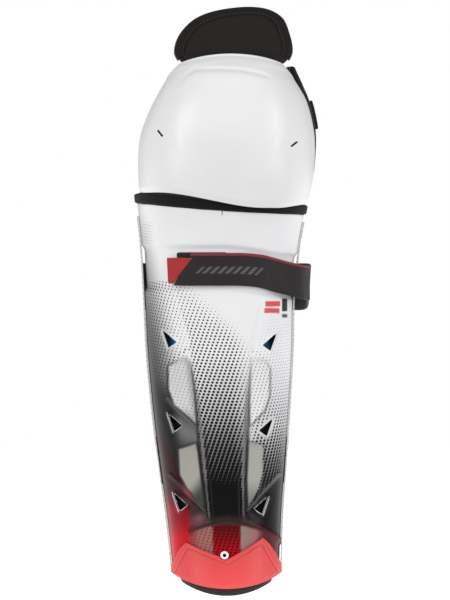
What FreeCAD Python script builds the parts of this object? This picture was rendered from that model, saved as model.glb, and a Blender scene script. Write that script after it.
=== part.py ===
"""A right-leg ice hockey shin guard: hard knee cap and shin shell over foam, with a removable liner, hinged
calf wings, a thigh flap and two hook-and-loop straps. Millimetres, +Z up the leg, the front facing -Y."""

import FreeCAD, Part
import math
import os

V = FreeCAD.Vector

# ---------------------------------------------------------------- driving dimensions
# Outer surface of the shin: height, half width, centre x, front y, reach from the front to the widest line.
SHIN = [
    (-20, 43.6, 0.8, -24.6, 38.0),
    (20, 45.5, 0.2, -24.8, 39.5),
    (60, 48.0, -1.4, -25.0, 41.8),
    (105, 52.6, -3.0, -25.7, 45.0),
    (150, 57.0, -4.4, -27.0, 48.0),
    (205, 61.0, -5.4, -29.0, 51.0),
    (250, 62.6, -6.0, -31.0, 54.0),
    (290, 66.0, -5.0, -35.5, 58.5),
    (332, 72.0, -3.4, -43.5, 66.0),
]
# Outer surface of the knee cap, in the same terms.
KNEE = [
    (318, 68.5, -3.0, -50.5, 60.0),
    (332, 71.5, -1.6, -55.5, 66.0),
    (348, 74.0, -0.2, -60.0, 72.0),
    (365, 75.0, 0.4, -63.0, 76.5),
    (383, 74.0, 1.2, -64.5, 77.0),
    (400, 69.8, 2.6, -63.8, 73.5),
    (415, 63.8, 3.8, -61.0, 66.5),
    (428, 56.4, 3.7, -55.8, 57.5),
    (436, 50.8, 3.6, -50.2, 49.5),
    (442, 46.2, 4.0, -44.0, 42.0),
    (447, 43.4, 4.2, -37.0, 34.5),
    (452, 41.2, 4.4, -30.5, 28.0),
]
# Rear edge of a calf wing: height, y of the rear edge, how far it turns inwards there.
WING = [
    (26, 30.0, 2.0),
    (60, 46.0, 5.0),
    (110, 60.0, 8.0),
    (160, 71.0, 11.0),
    (215, 78.0, 13.0),
    (262, 76.0, 12.0),
    (300, 56.0, 7.0),
]
# Knee side wing: height, how far its front edge is behind the cap's, y of its rear edge, how far it stands out
# beyond the cap's edge on the right.
KNEE_WING = [
    (350, 1.5, 27.0, 0.6),
    (368, 1.0, 38.0, 0.8),
    (388, 1.0, 44.0, 1.8),
    (406, 1.0, 43.0, 2.4),
    (424, 2.5, 36.0, 4.0),
    (436, 8.0, 27.0, 7.0),
    (443, 13.5, 19.0, 9.5),
]
SHIN_SQUARE = 0.02  # how much squarer than an ellipse the shin's section is
KNEE_SQUARE = 0.035
SHELL_WALL = 2.8
CAP_WALL = 3.2
GAP = 0.3  # between layers that lie on each other
SHELL_EDGE = 88.0  # degrees round from the front to the shell's side edge
BINDING_EDGE = 95.5
CHANNEL_LOW, CHANNEL_HIGH, CHANNEL_DEPTH, CHANNEL_FADE, CHANNEL_DROP = 257.0, 288.0, 2.0, 5.0, 7.0
BACKING_FRONT, BACKING_SIDE = 8.0, 4.5  # foam under the shell, at the front and at the sides
PATCH_WALL = 1.4
LINER_BASE, LINER_PAD_FRONT, LINER_PAD_SIDE = 2.6, 10.5, 6.0
LINER_BOTTOM, LINER_TOP, LINER_EDGE = 6.0, 300.0, 76.0
WING_GAP, WING_THICK, PLATE_WALL = 3.0, 7.0, 1.8
KNEE_FOAM, KNEE_LINING = 7.0, 3.0
FLAP_LOW, FLAP_TOP, FLAP_HALF, FLAP_CENTRE = 432.0, 490.5, 49.0, 6.2
FLAP_FRONT, FLAP_BEND, FLAP_LEAN = -29.2, 20.0, 0.08
VENT_ROWS = [(212.0, 41.5), (140.0, 38.0), (73.0, 34.0)]  # height, distance from the shell's centre line
VENT_SHAPE = [(5.8, 8.7), (-6.3, -1.8), (0.4, -6.8)]  # outer tip, inner corner, lower corner
EYELET = (-1.2, 31.5)  # x and z


# ---------------------------------------------------------------- small tools
def along(rows, at):
    """The values of a table at a height, on a smooth curve through its rows."""
    last = len(rows) - 2
    i = 0
    while i < last and at > rows[i + 1][0]:
        i += 1
    a, b = rows[i], rows[i + 1]
    before, after = rows[max(i - 1, 0)], rows[min(i + 2, last + 1)]
    span = b[0] - a[0]
    t = (at - a[0]) / span
    out = []
    for k in range(1, len(a)):
        rise_a = (b[k] - before[k]) / (b[0] - before[0]) * span
        rise_b = (after[k] - a[k]) / (after[0] - a[0]) * span
        out.append(
            a[k] * (1 + 2 * t) * (1 - t) ** 2 + rise_a * t * (1 - t) ** 2
            + b[k] * t * t * (3 - 2 * t) + rise_b * t * t * (t - 1)
        )
    return out


def ease(low, high, at):
    """0 below low, 1 above high, and a smooth rise between."""
    t = min(1.0, max(0.0, (at - low) / (high - low)))
    return t * t * (3 - 2 * t)


def mix(a, b, t):
    return a + (b - a) * t


def section(rows, square, angle, z, depth):
    """The point at an angle round from the front, at a height, a depth in from the outer surface."""
    half, centre, front, reach = along(rows, z)
    a = math.radians(angle)
    across = (math.sin(a) + square * math.sin(3 * a)) / (1 - square)
    forward = (math.cos(a) - square * math.cos(3 * a)) / (1 - square)
    return V(centre + (half - depth) * across, front + reach - (reach - depth) * forward, z)


def shin(angle, z, depth):
    return section(SHIN, SHIN_SQUARE, angle, z, depth)


def knee(angle, z, depth):
    return section(KNEE, KNEE_SQUARE, angle, z, depth)


def surface_of(place, us, vs):
    made = Part.BSplineSurface()
    made.interpolate([[place(u, v) for v in vs] for u in us])
    return made


def skin(outer, inner, us, vs):
    """A closed solid between two surfaces, each a function of u and v."""
    out, back = surface_of(outer, us, vs), surface_of(inner, us, vs)
    u0, u1, v0, v1 = out.bounds()
    p0, p1, q0, q1 = back.bounds()
    walls = [
        Part.makeRuledSurface(out.uIso(u0).toShape(), back.uIso(p0).toShape()),
        Part.makeRuledSurface(out.uIso(u1).toShape(), back.uIso(p1).toShape()),
        Part.makeRuledSurface(out.vIso(v0).toShape(), back.vIso(q0).toShape()),
        Part.makeRuledSurface(out.vIso(v1).toShape(), back.vIso(q1).toShape()),
    ]
    shell = Part.makeShell([out.toShape(), back.toShape(), *walls])
    shell.sewShape()
    solid = Part.makeSolid(Part.Shell(shell.Faces))
    if solid.Volume < 0:
        solid.reverse()
    return solid


def steps(low, high, count):
    return [low + (high - low) * i / count for i in range(count + 1)]


def prism(outline, y0, y1):
    """An outline of x, z points, run along Y."""
    points = [V(x, y0, z) for x, z in outline]
    return Part.Face(Part.makePolygon([*points, points[0]])).extrude(V(0, y1 - y0, 0))


def one(shapes):
    """Separate solids as one shape to export."""
    return Part.makeCompound([s for shape in shapes for s in shape.Solids])


# ---------------------------------------------------------------- edges of the big pieces
def shin_top(angle):
    """The shell's top edge, higher on the left, with a slight dip at the front."""
    return 321.5 - 4.8 * math.sin(math.radians(angle)) - 2.0 * math.cos(math.radians(angle)) ** 2


def knee_bottom(angle):
    """The knee cap's lower edge, an S that runs down to the right."""
    x = math.sin(math.radians(angle))
    return 337.0 - 13.0 * ease(-0.75, 0.45, x) + 3.0 * ease(0.6, 1.0, x)


def knee_top(angle):
    """The knee cap's top edge, an arch that drops at its ends to let the thigh flap fold back."""
    return 450.5 - 8.5 * math.sin(math.radians(angle)) ** 2 - 4.0 * ease(68.0, 90.0, abs(angle))


def bottom_rise(angle):
    """How much higher the lower edges are at the sides than at the front."""
    return math.sin(math.radians(angle)) ** 2


def channel(angle, z):
    """Depth of the strap channel across the shell, which runs down towards the right."""
    level = z + CHANNEL_DROP * ease(0, 1, math.sin(math.radians(angle)))
    rise = ease(CHANNEL_LOW - CHANNEL_FADE, CHANNEL_LOW, level)
    fall = 1 - ease(CHANNEL_HIGH, CHANNEL_HIGH + CHANNEL_FADE, level)
    return CHANNEL_DEPTH * rise * fall


def backing_depth(angle):
    """Depth of the foam backing's inner face."""
    front = math.cos(math.radians(angle)) ** 2
    return SHELL_WALL + GAP + mix(BACKING_SIDE, BACKING_FRONT, front)


# ---------------------------------------------------------------- shin body
SHELL_ROWS = 80


def shell_bottom(angle):
    return 7.0 + 9.0 * bottom_rise(angle)


def shell_layer(start, end, low, high, edge):
    """A layer of the shin between two depths, each a function of angle and height."""
    def at(depth):
        def place(angle, v):
            z = mix(low(angle), high(angle), v)
            return shin(angle, z, depth(angle, z))
        return place
    return skin(at(start), at(end), steps(-edge, edge, 16), steps(0, 1, SHELL_ROWS))


def vent_cutters():
    cutters = []
    for z, out in VENT_ROWS:
        centre = along(SHIN, z)[1]
        for side in (-1, 1):
            outline = [(centre + side * (out + dx), z + dz) for dx, dz in VENT_SHAPE]
            cutters.append(prism(outline, -60, 0))
    return cutters


def make_shin_shell():
    shell = shell_layer(
        lambda a, z: channel(a, z), lambda a, z: channel(a, z) + SHELL_WALL, shell_bottom, shin_top, SHELL_EDGE
    )
    x, z = EYELET
    hole = Part.makeCylinder(2.7, 60, V(x, -60, z), V(0, 1, 0))
    notch = prism([(-4.4, 330), (-3.2, 315.5), (-2.0, 330)], -60, -20)
    return shell.cut([*vent_cutters(), hole, notch])


def make_shin_backing():
    backing = shell_layer(
        lambda a, z: channel(a, z) + SHELL_WALL + 0.45,
        lambda a, z: backing_depth(a),
        lambda a: 14.5 + 9.0 * bottom_rise(a),
        lambda a: shin_top(a) - 0.5,
        SHELL_EDGE,
    )
    x, z = EYELET
    return backing.cut(Part.makeCylinder(2.7, 60, V(x, -60, z), V(0, 1, 0)))


def make_binding(side):
    """Edge tape down one side of the shell, on its outside and round its edge."""
    low = lambda a: 20.0
    high = lambda a: 316.0 if side < 0 else 311.0
    def at(depth):
        return lambda a, v: shin(side * a, mix(low(a), high(a), v), depth)
    return skin(at(-1.7), at(-0.5), steps(83.0, BINDING_EDGE, 4), steps(0, 1, 40))


def make_hem():
    """Soft roll that closes the foam's lower edge."""
    def at(depth, crown):
        def place(a, v):
            z = mix(11.0 * bottom_rise(a), 14.0 + 8.6 * bottom_rise(a), v)
            return shin(a, z, depth(a) + crown * (1 - (2 * v - 1) ** 4))
        return place
    return skin(at(lambda a: SHELL_WALL + 1.6, -1.2), at(lambda a: backing_depth(a) - 1.0, 1.0),
                steps(-66, 66, 10), steps(0, 1, 6))


OVERLAY = [(-58, 17.0), (-46.5, 17.0), (-34.0, 41.5), (1.4, 27.5), (31.2, 45.5), (47.6, 17.0), (58, 17.0),
           (58, -5), (-58, -5)]


def make_overlay():
    def at(depth):
        return lambda a, v: shin(a, mix(3.8 + 12.5 * bottom_rise(a), 50, v), depth)
    strip = skin(at(-1.7), at(-GAP), steps(-84, 84, 12), steps(0, 1, 4))
    x, z = EYELET
    return strip.common(prism(OVERLAY, -60, 30)).cut(Part.makeCylinder(4.0, 60, V(x, -60, z), V(0, 1, 0)))


def eyelet_axis_y(depth):
    x, z = EYELET
    return shin(0, z, depth).y


def make_eyelet():
    x, z = EYELET
    face = eyelet_axis_y(0)
    flange = Part.makeCylinder(3.6, 1.1, V(x, face - 1.3, z), V(0, 1, 0))
    barrel = Part.makeCylinder(2.5, 2.6, V(x, face - 0.3, z), V(0, 1, 0))
    bore = Part.makeCylinder(1.5, 10, V(x, face - 5, z), V(0, 1, 0))
    return flange.fuse(barrel).cut(bore).removeSplitter()


def make_landing():
    """Loop patch on the shell that the strap's end closes onto."""
    def at(lift):
        return lambda a, v: shin(a, mix(258.6, 285.2, v), CHANNEL_DEPTH - lift)
    return skin(at(1.3), at(GAP), steps(-31, 4, 6), steps(0, 1, 4))


def make_hook_patches():
    """Four hook patches on the foam, which hold the liner."""
    patches = []
    for z in (70.0, 235.0):
        for side in (-1, 1):
            def at(extra):
                return lambda a, v: shin(side * a, mix(z - 22, z + 22, v), backing_depth(a) + extra)
            patches.append(skin(at(GAP), at(GAP + PATCH_WALL), steps(16, 38, 4), steps(0, 1, 4)))
    return one(patches)


# ---------------------------------------------------------------- liner body
def liner_back(angle):
    return backing_depth(angle) + 2 * GAP + PATCH_WALL


def make_liner_sheet():
    def at(extra):
        return lambda a, v: shin(a, mix(LINER_BOTTOM + 6.0 * bottom_rise(a), LINER_TOP, v), liner_back(a) + extra)
    return skin(at(0), at(LINER_BASE), steps(-LINER_EDGE, LINER_EDGE, 12), steps(0, 1, 12))


def make_liner_pads(low, high):
    """One column of pads on the liner, between two angles."""
    rows, gap = 5, 7.0
    first, last = LINER_BOTTOM + 12.0, LINER_TOP - 6.0
    pitch = (last - first + gap) / rows
    pads = []
    for i in range(rows):
        z0 = first + pitch * i
        z1 = z0 + pitch - gap
        def face(extra, crown):
            def place(a, v):
                front = math.cos(math.radians(a)) ** 2
                across = (a - low) / (high - low)
                top = mix(LINER_PAD_SIDE, LINER_PAD_FRONT, front)
                round_off = (1 - abs(2 * across - 1) ** 4 * 0.5) * (1 - abs(2 * v - 1) ** 6 * 0.5)
                return shin(a, mix(z0, z1, v), liner_back(a) + LINER_BASE + extra + crown * top * round_off)
            return place
        pads.append(skin(face(GAP, 0), face(GAP, 1), steps(low, high, 6), steps(0, 1, 6)))
    return one(pads)


# ---------------------------------------------------------------- calf wings
def wing_place(side, thick):
    """A wing's face: u from its front edge to its rear edge, v up the wing."""
    low, high = WING[0][0], WING[-1][0]
    def place(u, v):
        z = mix(low, high, v)
        rear, turn = along(WING, z)
        start = shin(side * 90, z, 2.2)
        y0 = start.y + 6.0 + WING_GAP
        lift = thick(u, v)
        x = start.x - side * (turn * u ** 1.8 + lift)
        return V(x, mix(y0, rear, u), z)
    return place


def wing_crown(low, high):
    """Thickness that falls off at the rear, top and bottom edges."""
    def depth(u, v):
        full = 1 - 0.55 * ease(0.75, 1.0, u)
        full *= 1 - 0.5 * max(ease(0.92, 1.0, v), 1 - ease(0.0, 0.08, v))
        return low + (high - low) * full
    return depth


def make_wing_pad(side):
    middle = (PLATE_WALL + GAP + WING_THICK + PLATE_WALL) / 2
    outer = wing_place(side, lambda u, v: PLATE_WALL + GAP)
    inner = wing_place(side, wing_crown(PLATE_WALL + GAP, PLATE_WALL + GAP + WING_THICK))
    return skin(outer, inner, steps(0, 1, 8), steps(0, 1, 12))


def make_wing_plate(side):
    """Moulded plate on the outside of a wing, set in from the pad's edges."""
    us = steps(0.12, 0.84, 6)
    vs = steps(0.1, 0.9, 10)
    return skin(wing_place(side, lambda u, v: 0.0), wing_place(side, lambda u, v: PLATE_WALL), us, vs)


def make_gusset(side):
    """Stretch fabric that joins the shell's edge to a wing."""
    low, high = 30.0, 296.0
    def at(depth):
        def place(u, v):
            z = mix(low, high, v)
            start = shin(side * SHELL_EDGE, z, 2.2)
            edge = shin(side * 90, z, 2.2)
            y = mix(start.y + GAP, edge.y + 6.0 + WING_GAP - GAP, u)
            return V(edge.x - side * depth, y, z)
        return place
    return skin(at(0.6), at(3.0), steps(0, 1, 3), steps(0, 1, 12))


# ---------------------------------------------------------------- knee body
def make_knee_cap():
    def at(depth):
        return lambda a, v: knee(a, mix(knee_bottom(a), knee_top(a), v), depth)
    cap = skin(at(0), at(CAP_WALL), steps(-90, 90, 16), steps(0, 1, 20))
    width, length = LASHING_WIDTH + LASHING_MARGIN, LASHING_LENGTH + LASHING_MARGIN
    slots = [Part.makeBox(width, 80, length, V(-width / 2, -70, -length / 2)) for _ in LASHINGS]
    for slot, (x, z, turn) in zip(slots, LASHINGS):
        slot.rotate(V(0, 0, 0), V(0, 1, 0), turn)
        slot.translate(V(x, 0, z))
    return cap.cut(slots)


LASHINGS = [(-55.0, 385.0, -38.0), (57.0, 376.0, 52.0)]  # x, z and lean of each slot in the cap
LASHING_WIDTH, LASHING_LENGTH, LASHING_MARGIN = 1.1, 6.2, 0.4


def make_lashings():
    """A flat cord end that fills each slot, flush with the cap."""
    cords = []
    for x, z, turn in LASHINGS:
        side = -1 if x < 0 else 1
        def at(depth):
            return lambda a, v: knee(side * a, mix(z - 8.0, z + 8.0, v), depth)
        wall = skin(at(-0.2), at(CAP_WALL + 0.1), steps(30, 66, 6), steps(0, 1, 4))
        cord = Part.makeBox(LASHING_WIDTH, 80, LASHING_LENGTH, V(-LASHING_WIDTH / 2, -70, -LASHING_LENGTH / 2))
        cord.rotate(V(0, 0, 0), V(0, 1, 0), turn)
        cord.translate(V(x, 0, z))
        cords.append(wall.common(cord))
    return one(cords)


def knee_layer(start, end, edge, lift, top):
    def at(depth):
        return lambda a, v: knee(a, mix(knee_bottom(a) + lift, top, v), depth)
    return skin(at(start), at(end), steps(-edge, edge, 14), steps(0, 1, 14))


def make_knee_donut():
    """A padded ring that the knee sits in."""
    depth = CAP_WALL + 4 * GAP + KNEE_FOAM + KNEE_LINING
    def at(extra):
        return lambda a, v: knee(a, mix(346.0, 416.0, v), depth + extra)
    slab = skin(at(0.0), at(9.0), steps(-50, 50, 10), steps(0, 1, 6))
    hole = Part.makeCone(17.0, 24.0, 30.0, V(1.5, -56.0, 381.0), V(0, 1, 0))
    return slab.cut(hole)


def knee_wing_place(side, depth):
    """A point on a knee wing: u from its front edge to its rear edge, v up it, a depth in from its outer face."""
    low, high = KNEE_WING[0][0], KNEE_WING[-1][0]
    def place(u, v):
        z = mix(low, high, v)
        behind, rear, out = along(KNEE_WING, z)
        start = knee(side * 90, z, 0)
        stand = out if side > 0 else -0.6
        x = start.x + side * (stand - depth - 6.0 * u * u)
        return V(x, mix(start.y + behind, rear, u), z)
    return place


def make_knee_wing(side):
    return skin(knee_wing_place(side, 0.0), knee_wing_place(side, 7.0), steps(0, 1, 6), steps(0, 1, 12))


def make_wing_tab():
    """Webbing patch sewn on the outside of the right knee wing."""
    def at(lift):
        return lambda u, v: knee_wing_place(1, -lift)(mix(0.1, 0.5, u), mix(0.44, 0.68, v))
    return skin(at(1.9), at(GAP), steps(0, 1, 3), steps(0, 1, 4))


# ---------------------------------------------------------------- bridge between cap and shell
def make_bridge():
    """Padded stretch band from the shell's top edge up behind the knee cap's lower edge."""
    def at(low_depth, high_depth, bulge):
        def place(a, v):
            z = mix(shin_top(a) + 0.4, knee_bottom(a) + 4.2, v)
            t = ease(0.0, 0.7, v)
            p, q = shin(a, z, low_depth - bulge * (1 - (2 * v - 1) ** 2)), knee(a, z, high_depth)
            return p + (q - p) * t
        return place
    return skin(at(0.6, CAP_WALL + 0.5, 1.6), at(8.0, CAP_WALL + 6.0, -0.5), steps(-88, 88, 16), steps(0, 1, 6))


# ---------------------------------------------------------------- thigh flap
def flap_face(x, z):
    """y of the flap's front face."""
    return FLAP_FRONT + FLAP_BEND * ((x - FLAP_CENTRE) / FLAP_HALF) ** 2 + FLAP_LEAN * (z - FLAP_LOW)


def flap_slab(front, back):
    """A bent slab between two distances behind the flap's front face."""
    def at(depth):
        return lambda x, z: V(x, flap_face(x, z) + depth, z)
    return skin(at(front), at(back), steps(FLAP_CENTRE - 56, FLAP_CENTRE + 56, 8),
                steps(FLAP_LOW - 4, FLAP_TOP + 8, 4))


def flap_outline(inset):
    """The flap's outline in x, z: a wide curve on the left, a tighter one on the right, narrow at its base."""
    left, right = FLAP_CENTRE - FLAP_HALF + inset, FLAP_CENTRE + FLAP_HALF - inset
    low, top = FLAP_LOW + inset, FLAP_TOP - inset
    points = [
        V(left + 22, 0, low), V(left + 15, 0, low + 7), V(left + 4.5, 0, low + 13.5), V(left, 0, low + 22),
        V(left + 4.5, 0, low + 36), V(left + 18, 0, top - 8.5), V(left + 40, 0, top - 1.6), V(right - 26, 0, top),
        V(right - 9, 0, top - 7), V(right - 2.2, 0, low + 36), V(right, 0, low + 22), V(right - 4.5, 0, low + 13.5),
        V(right - 15, 0, low + 7), V(right - 22, 0, low),
    ]
    curve = Part.BSplineCurve()
    curve.interpolate(points)
    return Part.Face(Part.Wire([curve.toShape(), Part.makeLine(points[-1], points[0])]))


def flap_block(inset):
    face = flap_outline(inset)
    face.translate(V(0, -70, 0))
    return face.extrude(V(0, 120, 0))


def flap_piece(front, back, inset):
    return flap_slab(front, back).common(flap_block(inset))


def make_flap_binding():
    """Tape folded over the flap's edge, above its base."""
    rim = flap_slab(-0.4, 12.4).common(flap_block(-1.2)).cut(flap_block(0.8))
    return rim.cut(Part.makeBox(200, 200, 40, V(-100, -100, FLAP_LOW - 26)))


def make_flap_hinge():
    """Fabric web from the knee lining's top edge to the flap's base."""
    def at(back):
        def place(x, v):
            reach = (x - FLAP_CENTRE) * mix(1.25, 1.0, v) + FLAP_CENTRE
            centre = along(KNEE, 430)[1]
            low_y = -43.0 + 34.0 * (abs(reach - centre) / 44.0) ** 2.6
            y = mix(low_y, flap_face(x, FLAP_LOW) + 4.0, v) + back
            return V(reach, y, mix(430.6, FLAP_LOW - 0.4, v) + back * 0.1)
        return place
    return skin(at(0.0), at(2.0), steps(FLAP_CENTRE - 26, FLAP_CENTRE + 26, 8), steps(0, 1, 3))


# ---------------------------------------------------------------- straps
def on_path(points, t):
    """A smooth plan path through points, t from 0 to 1, and its outward normal."""
    rows = [(i, p[0], p[1]) for i, p in enumerate(points)]
    at = t * (len(points) - 1)
    x, y = along(rows, at)
    step = 0.01
    x0, y0 = along(rows, max(0.0, at - step))
    x1, y1 = along(rows, min(len(points) - 1.0, at + step))
    size = math.hypot(x1 - x0, y1 - y0)
    return x, y, (y1 - y0) / size, -(x1 - x0) / size


def band(points, start, end, inner, outer, low, high, spans, level=0.0, flare=0.0):
    """A strap along a plan path, between two distances outside it and two heights. Its ends may slant.
    The path is a function of height; it also widens by a flare above a level."""
    def at(lift):
        def place(u, v):
            t = mix(start(v), end(v), u)
            z = mix(low(t), high(t), v)
            x, y, nx, ny = on_path(points(z), t)
            return V(x * (1 + flare * (z - level)) + nx * lift, y + ny * lift, z)
        return place
    return skin(at(outer), at(inner), steps(0, 1, spans), steps(0, 1, 3))


def fixed(value):
    return lambda _: value


def strap_front_path(z):
    """Plan path of the upper strap's front, from its free end on the left to the corner on the right."""
    path = []
    for angle in (-44, -30, -15, 0, 15, 30, 42):
        p = shin(angle, z, CHANNEL_DEPTH - 1.6)
        path.append((p.x, p.y))
    return path + [(50.5, -12.0), (61.5, -5.5), (67.6, 5.5)]


UPPER_LEVEL, UPPER_FLARE = 257.0, 0.0009
LOWER_LEVEL, LOWER_FLARE = 110.0, 0.0022
UPPER_FOLD = [(67.6, 6.0), (67.75, 8.5), (67.8, 11.0)]
UPPER_BACK = [(67.8, 11.5), (68.3, 22.0), (68.6, 38.0), (66.5, 58.0), (57.0, 79.0), (38.0, 94.0), (3.0, 101.0),
              (-34.0, 95.0), (-55.5, 82.0), (-64.0, 68.0), (-67.3, 54.0), (-67.8, 42.0), (-67.4, 31.2)]
UPPER_ANCHOR = [(-67.2, 30.7), (-67.1, 27.0), (-66.9, 23.5)]
LOWER_PATH = [(48.6, 27.0), (48.6, 36.0), (47.6, 46.0), (44.5, 57.0), (36.0, 68.0), (18.0, 77.0), (-4.0, 80.0),
              (-26.0, 77.5), (-43.0, 69.0), (-50.8, 57.0), (-53.8, 45.0), (-54.9, 36.0), (-54.8, 30.5)]
LOWER_FOLD = [(-54.8, 30.0), (-54.9, 28.0), (-54.8, 26.0)]
LOWER_ANCHOR = [(-54.6, 25.6), (-54.5, 23.0), (-54.3, 20.0)]
LOWER_LOW, LOWER_HIGH = 91.0, 129.0


def upper_low(t):
    return mix(258.3, 246.5, ease(0.42, 1.0, t))


def upper_high(t):
    return mix(282.2, 271.8, ease(0.42, 1.0, t))


def slant(gap):
    """The slanted seam between the front strap and its tip."""
    return lambda v: mix(0.080, 0.194, v) + gap


def make_upper_front():
    return band(strap_front_path, slant(0.008), fixed(1.0), 1.5, 3.2, upper_low, upper_high, 20)


def make_upper_piping():
    """Cord-edged piping along the front strap's top edge."""
    low = lambda t: upper_high(t) + GAP
    high = lambda t: upper_high(t) + 1.9
    return band(strap_front_path, fixed(0.190), fixed(1.0), 1.5, 3.5, low, high, 20)


def make_upper_backing():
    """Hook layer behind the front strap, a little wider than it."""
    return band(strap_front_path, fixed(0.104), fixed(1.0), 0.3, 1.2, lambda t: upper_low(t) + 0.4,
                lambda t: upper_high(t) + 2.4, 20)


def make_upper_tip():
    """Tip tab at the strap's free end."""
    return band(strap_front_path, fixed(0.041), slant(0.0), 1.5, 3.0, fixed(260.3), fixed(280.4), 4)


def make_upper_fold():
    """Where the webbing turns the corner."""
    return band(fixed(UPPER_FOLD), fixed(0.0), fixed(1.0), 0.3, 3.2, fixed(246.5), fixed(273.7), 3)


def back_low(t):
    return mix(246.5, 238.0, ease(0.0, 0.3, t))


def back_high(t):
    return mix(273.7, 276.0, ease(0.0, 0.3, t))


def make_upper_back():
    return band(fixed(UPPER_BACK), fixed(0.0), fixed(1.0), 0.3, 2.5, back_low, back_high, 24, UPPER_LEVEL,
                UPPER_FLARE)


def make_upper_anchor():
    """Sewn patch that ties the upper elastic to the gusset on the left."""
    return band(fixed(UPPER_ANCHOR), fixed(0.0), fixed(1.0), 0.0, 1.0, fixed(238.0), fixed(276.0), 3, UPPER_LEVEL,
                UPPER_FLARE)


def lower_band(path, start, end, inner, outer, inset, spans):
    low, high = fixed(LOWER_LOW + inset), fixed(LOWER_HIGH - inset)
    return band(fixed(path), fixed(start), fixed(end), inner, outer, low, high, spans, LOWER_LEVEL, LOWER_FLARE)


def export(parts):
    os.makedirs("parts", exist_ok=True)
    for old in os.listdir("parts"):
        os.remove(os.path.join("parts", old))
    for name, shape in parts.items():
        kept = Part.makeCompound(shape.Solids)
        kept.exportStep(f"parts/{name}.step")
        print(f"{name}: {len(kept.Solids)} solids, {kept.Volume / 1000:.2f} cm3, valid {kept.isValid()}")


export({
    "shin_shell": make_shin_shell(),
    "shin_backing": make_shin_backing(),
    "edge_binding_left": make_binding(-1),
    "edge_binding_right": make_binding(1),
    "ankle_hem": make_hem(),
    "ankle_overlay": make_overlay(),
    "eyelet": make_eyelet(),
    "strap_landing": make_landing(),
    "liner_hook_patches": make_hook_patches(),
    "liner_sheet": make_liner_sheet(),
    "liner_pads_left": make_liner_pads(-70, -30),
    "liner_pads_centre": make_liner_pads(-24, 24),
    "liner_pads_right": make_liner_pads(30, 70),
    "calf_wing_pad_left": make_wing_pad(-1),
    "calf_wing_pad_right": make_wing_pad(1),
    "calf_wing_plate_left": make_wing_plate(-1),
    "calf_wing_plate_right": make_wing_plate(1),
    "wing_gusset_left": make_gusset(-1),
    "wing_gusset_right": make_gusset(1),
    "knee_cap": make_knee_cap(),
    "knee_cap_lashings": make_lashings(),
    "knee_cap_foam": knee_layer(CAP_WALL + 0.5, CAP_WALL + GAP + KNEE_FOAM, 88, 5.0, 430.0),
    "knee_lining": knee_layer(CAP_WALL + 2 * GAP + KNEE_FOAM, CAP_WALL + 2 * GAP + KNEE_FOAM + KNEE_LINING,
                              86, 6.0, 427.0),
    "knee_donut": make_knee_donut(),
    "knee_wing_left": make_knee_wing(-1),
    "knee_wing_right": make_knee_wing(1),
    "knee_wing_tab": make_wing_tab(),
    "knee_bridge": make_bridge(),
    "thigh_flap_hinge": make_flap_hinge(),
    "thigh_flap_front": flap_piece(0.0, 5.8, 1.1),
    "thigh_flap_back": flap_piece(6.2, 12.0, 1.1),
    "thigh_flap_binding": make_flap_binding(),
    "upper_strap_front": make_upper_front(),
    "upper_strap_backing": make_upper_backing(),
    "upper_strap_tip": make_upper_tip(),
    "upper_strap_piping": make_upper_piping(),
    "upper_strap_fold": make_upper_fold(),
    "upper_strap_elastic": make_upper_back(),
    "upper_strap_anchor": make_upper_anchor(),
    "lower_strap_elastic": lower_band(LOWER_PATH, 0.095, 1.0, 0.6, 2.6, 0.0, 24),
    "lower_strap_tip": lower_band(LOWER_PATH, 0.0, 0.092, 0.6, 2.8, 2.0, 4),
    "lower_strap_fold": lower_band(LOWER_FOLD, 0.0, 1.0, 0.6, 2.6, 0.0, 3),
    "lower_strap_anchor": lower_band(LOWER_ANCHOR, 0.0, 1.0, -0.3, 0.8, 0.0, 3),
})
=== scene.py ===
"""Looks of the hockey shin guard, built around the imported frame. Lengths in the tables are millimetres."""
import math

import bpy
import bmesh
import numpy as np
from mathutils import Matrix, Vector, noise
from mathutils.bvhtree import BVHTree


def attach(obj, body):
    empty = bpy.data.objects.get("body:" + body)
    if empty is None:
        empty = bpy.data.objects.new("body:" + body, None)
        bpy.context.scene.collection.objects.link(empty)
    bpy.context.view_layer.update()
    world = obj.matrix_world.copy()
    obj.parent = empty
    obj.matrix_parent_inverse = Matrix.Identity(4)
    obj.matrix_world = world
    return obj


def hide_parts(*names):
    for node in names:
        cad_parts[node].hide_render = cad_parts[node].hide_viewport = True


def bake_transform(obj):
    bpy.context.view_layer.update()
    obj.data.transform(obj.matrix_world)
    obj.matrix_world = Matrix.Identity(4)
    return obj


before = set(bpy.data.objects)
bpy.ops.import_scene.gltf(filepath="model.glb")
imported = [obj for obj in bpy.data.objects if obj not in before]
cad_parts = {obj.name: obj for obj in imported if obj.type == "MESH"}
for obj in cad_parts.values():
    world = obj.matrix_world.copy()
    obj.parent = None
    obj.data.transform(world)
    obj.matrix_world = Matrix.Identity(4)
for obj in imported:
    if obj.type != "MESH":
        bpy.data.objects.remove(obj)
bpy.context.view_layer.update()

MM = 0.001

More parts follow.
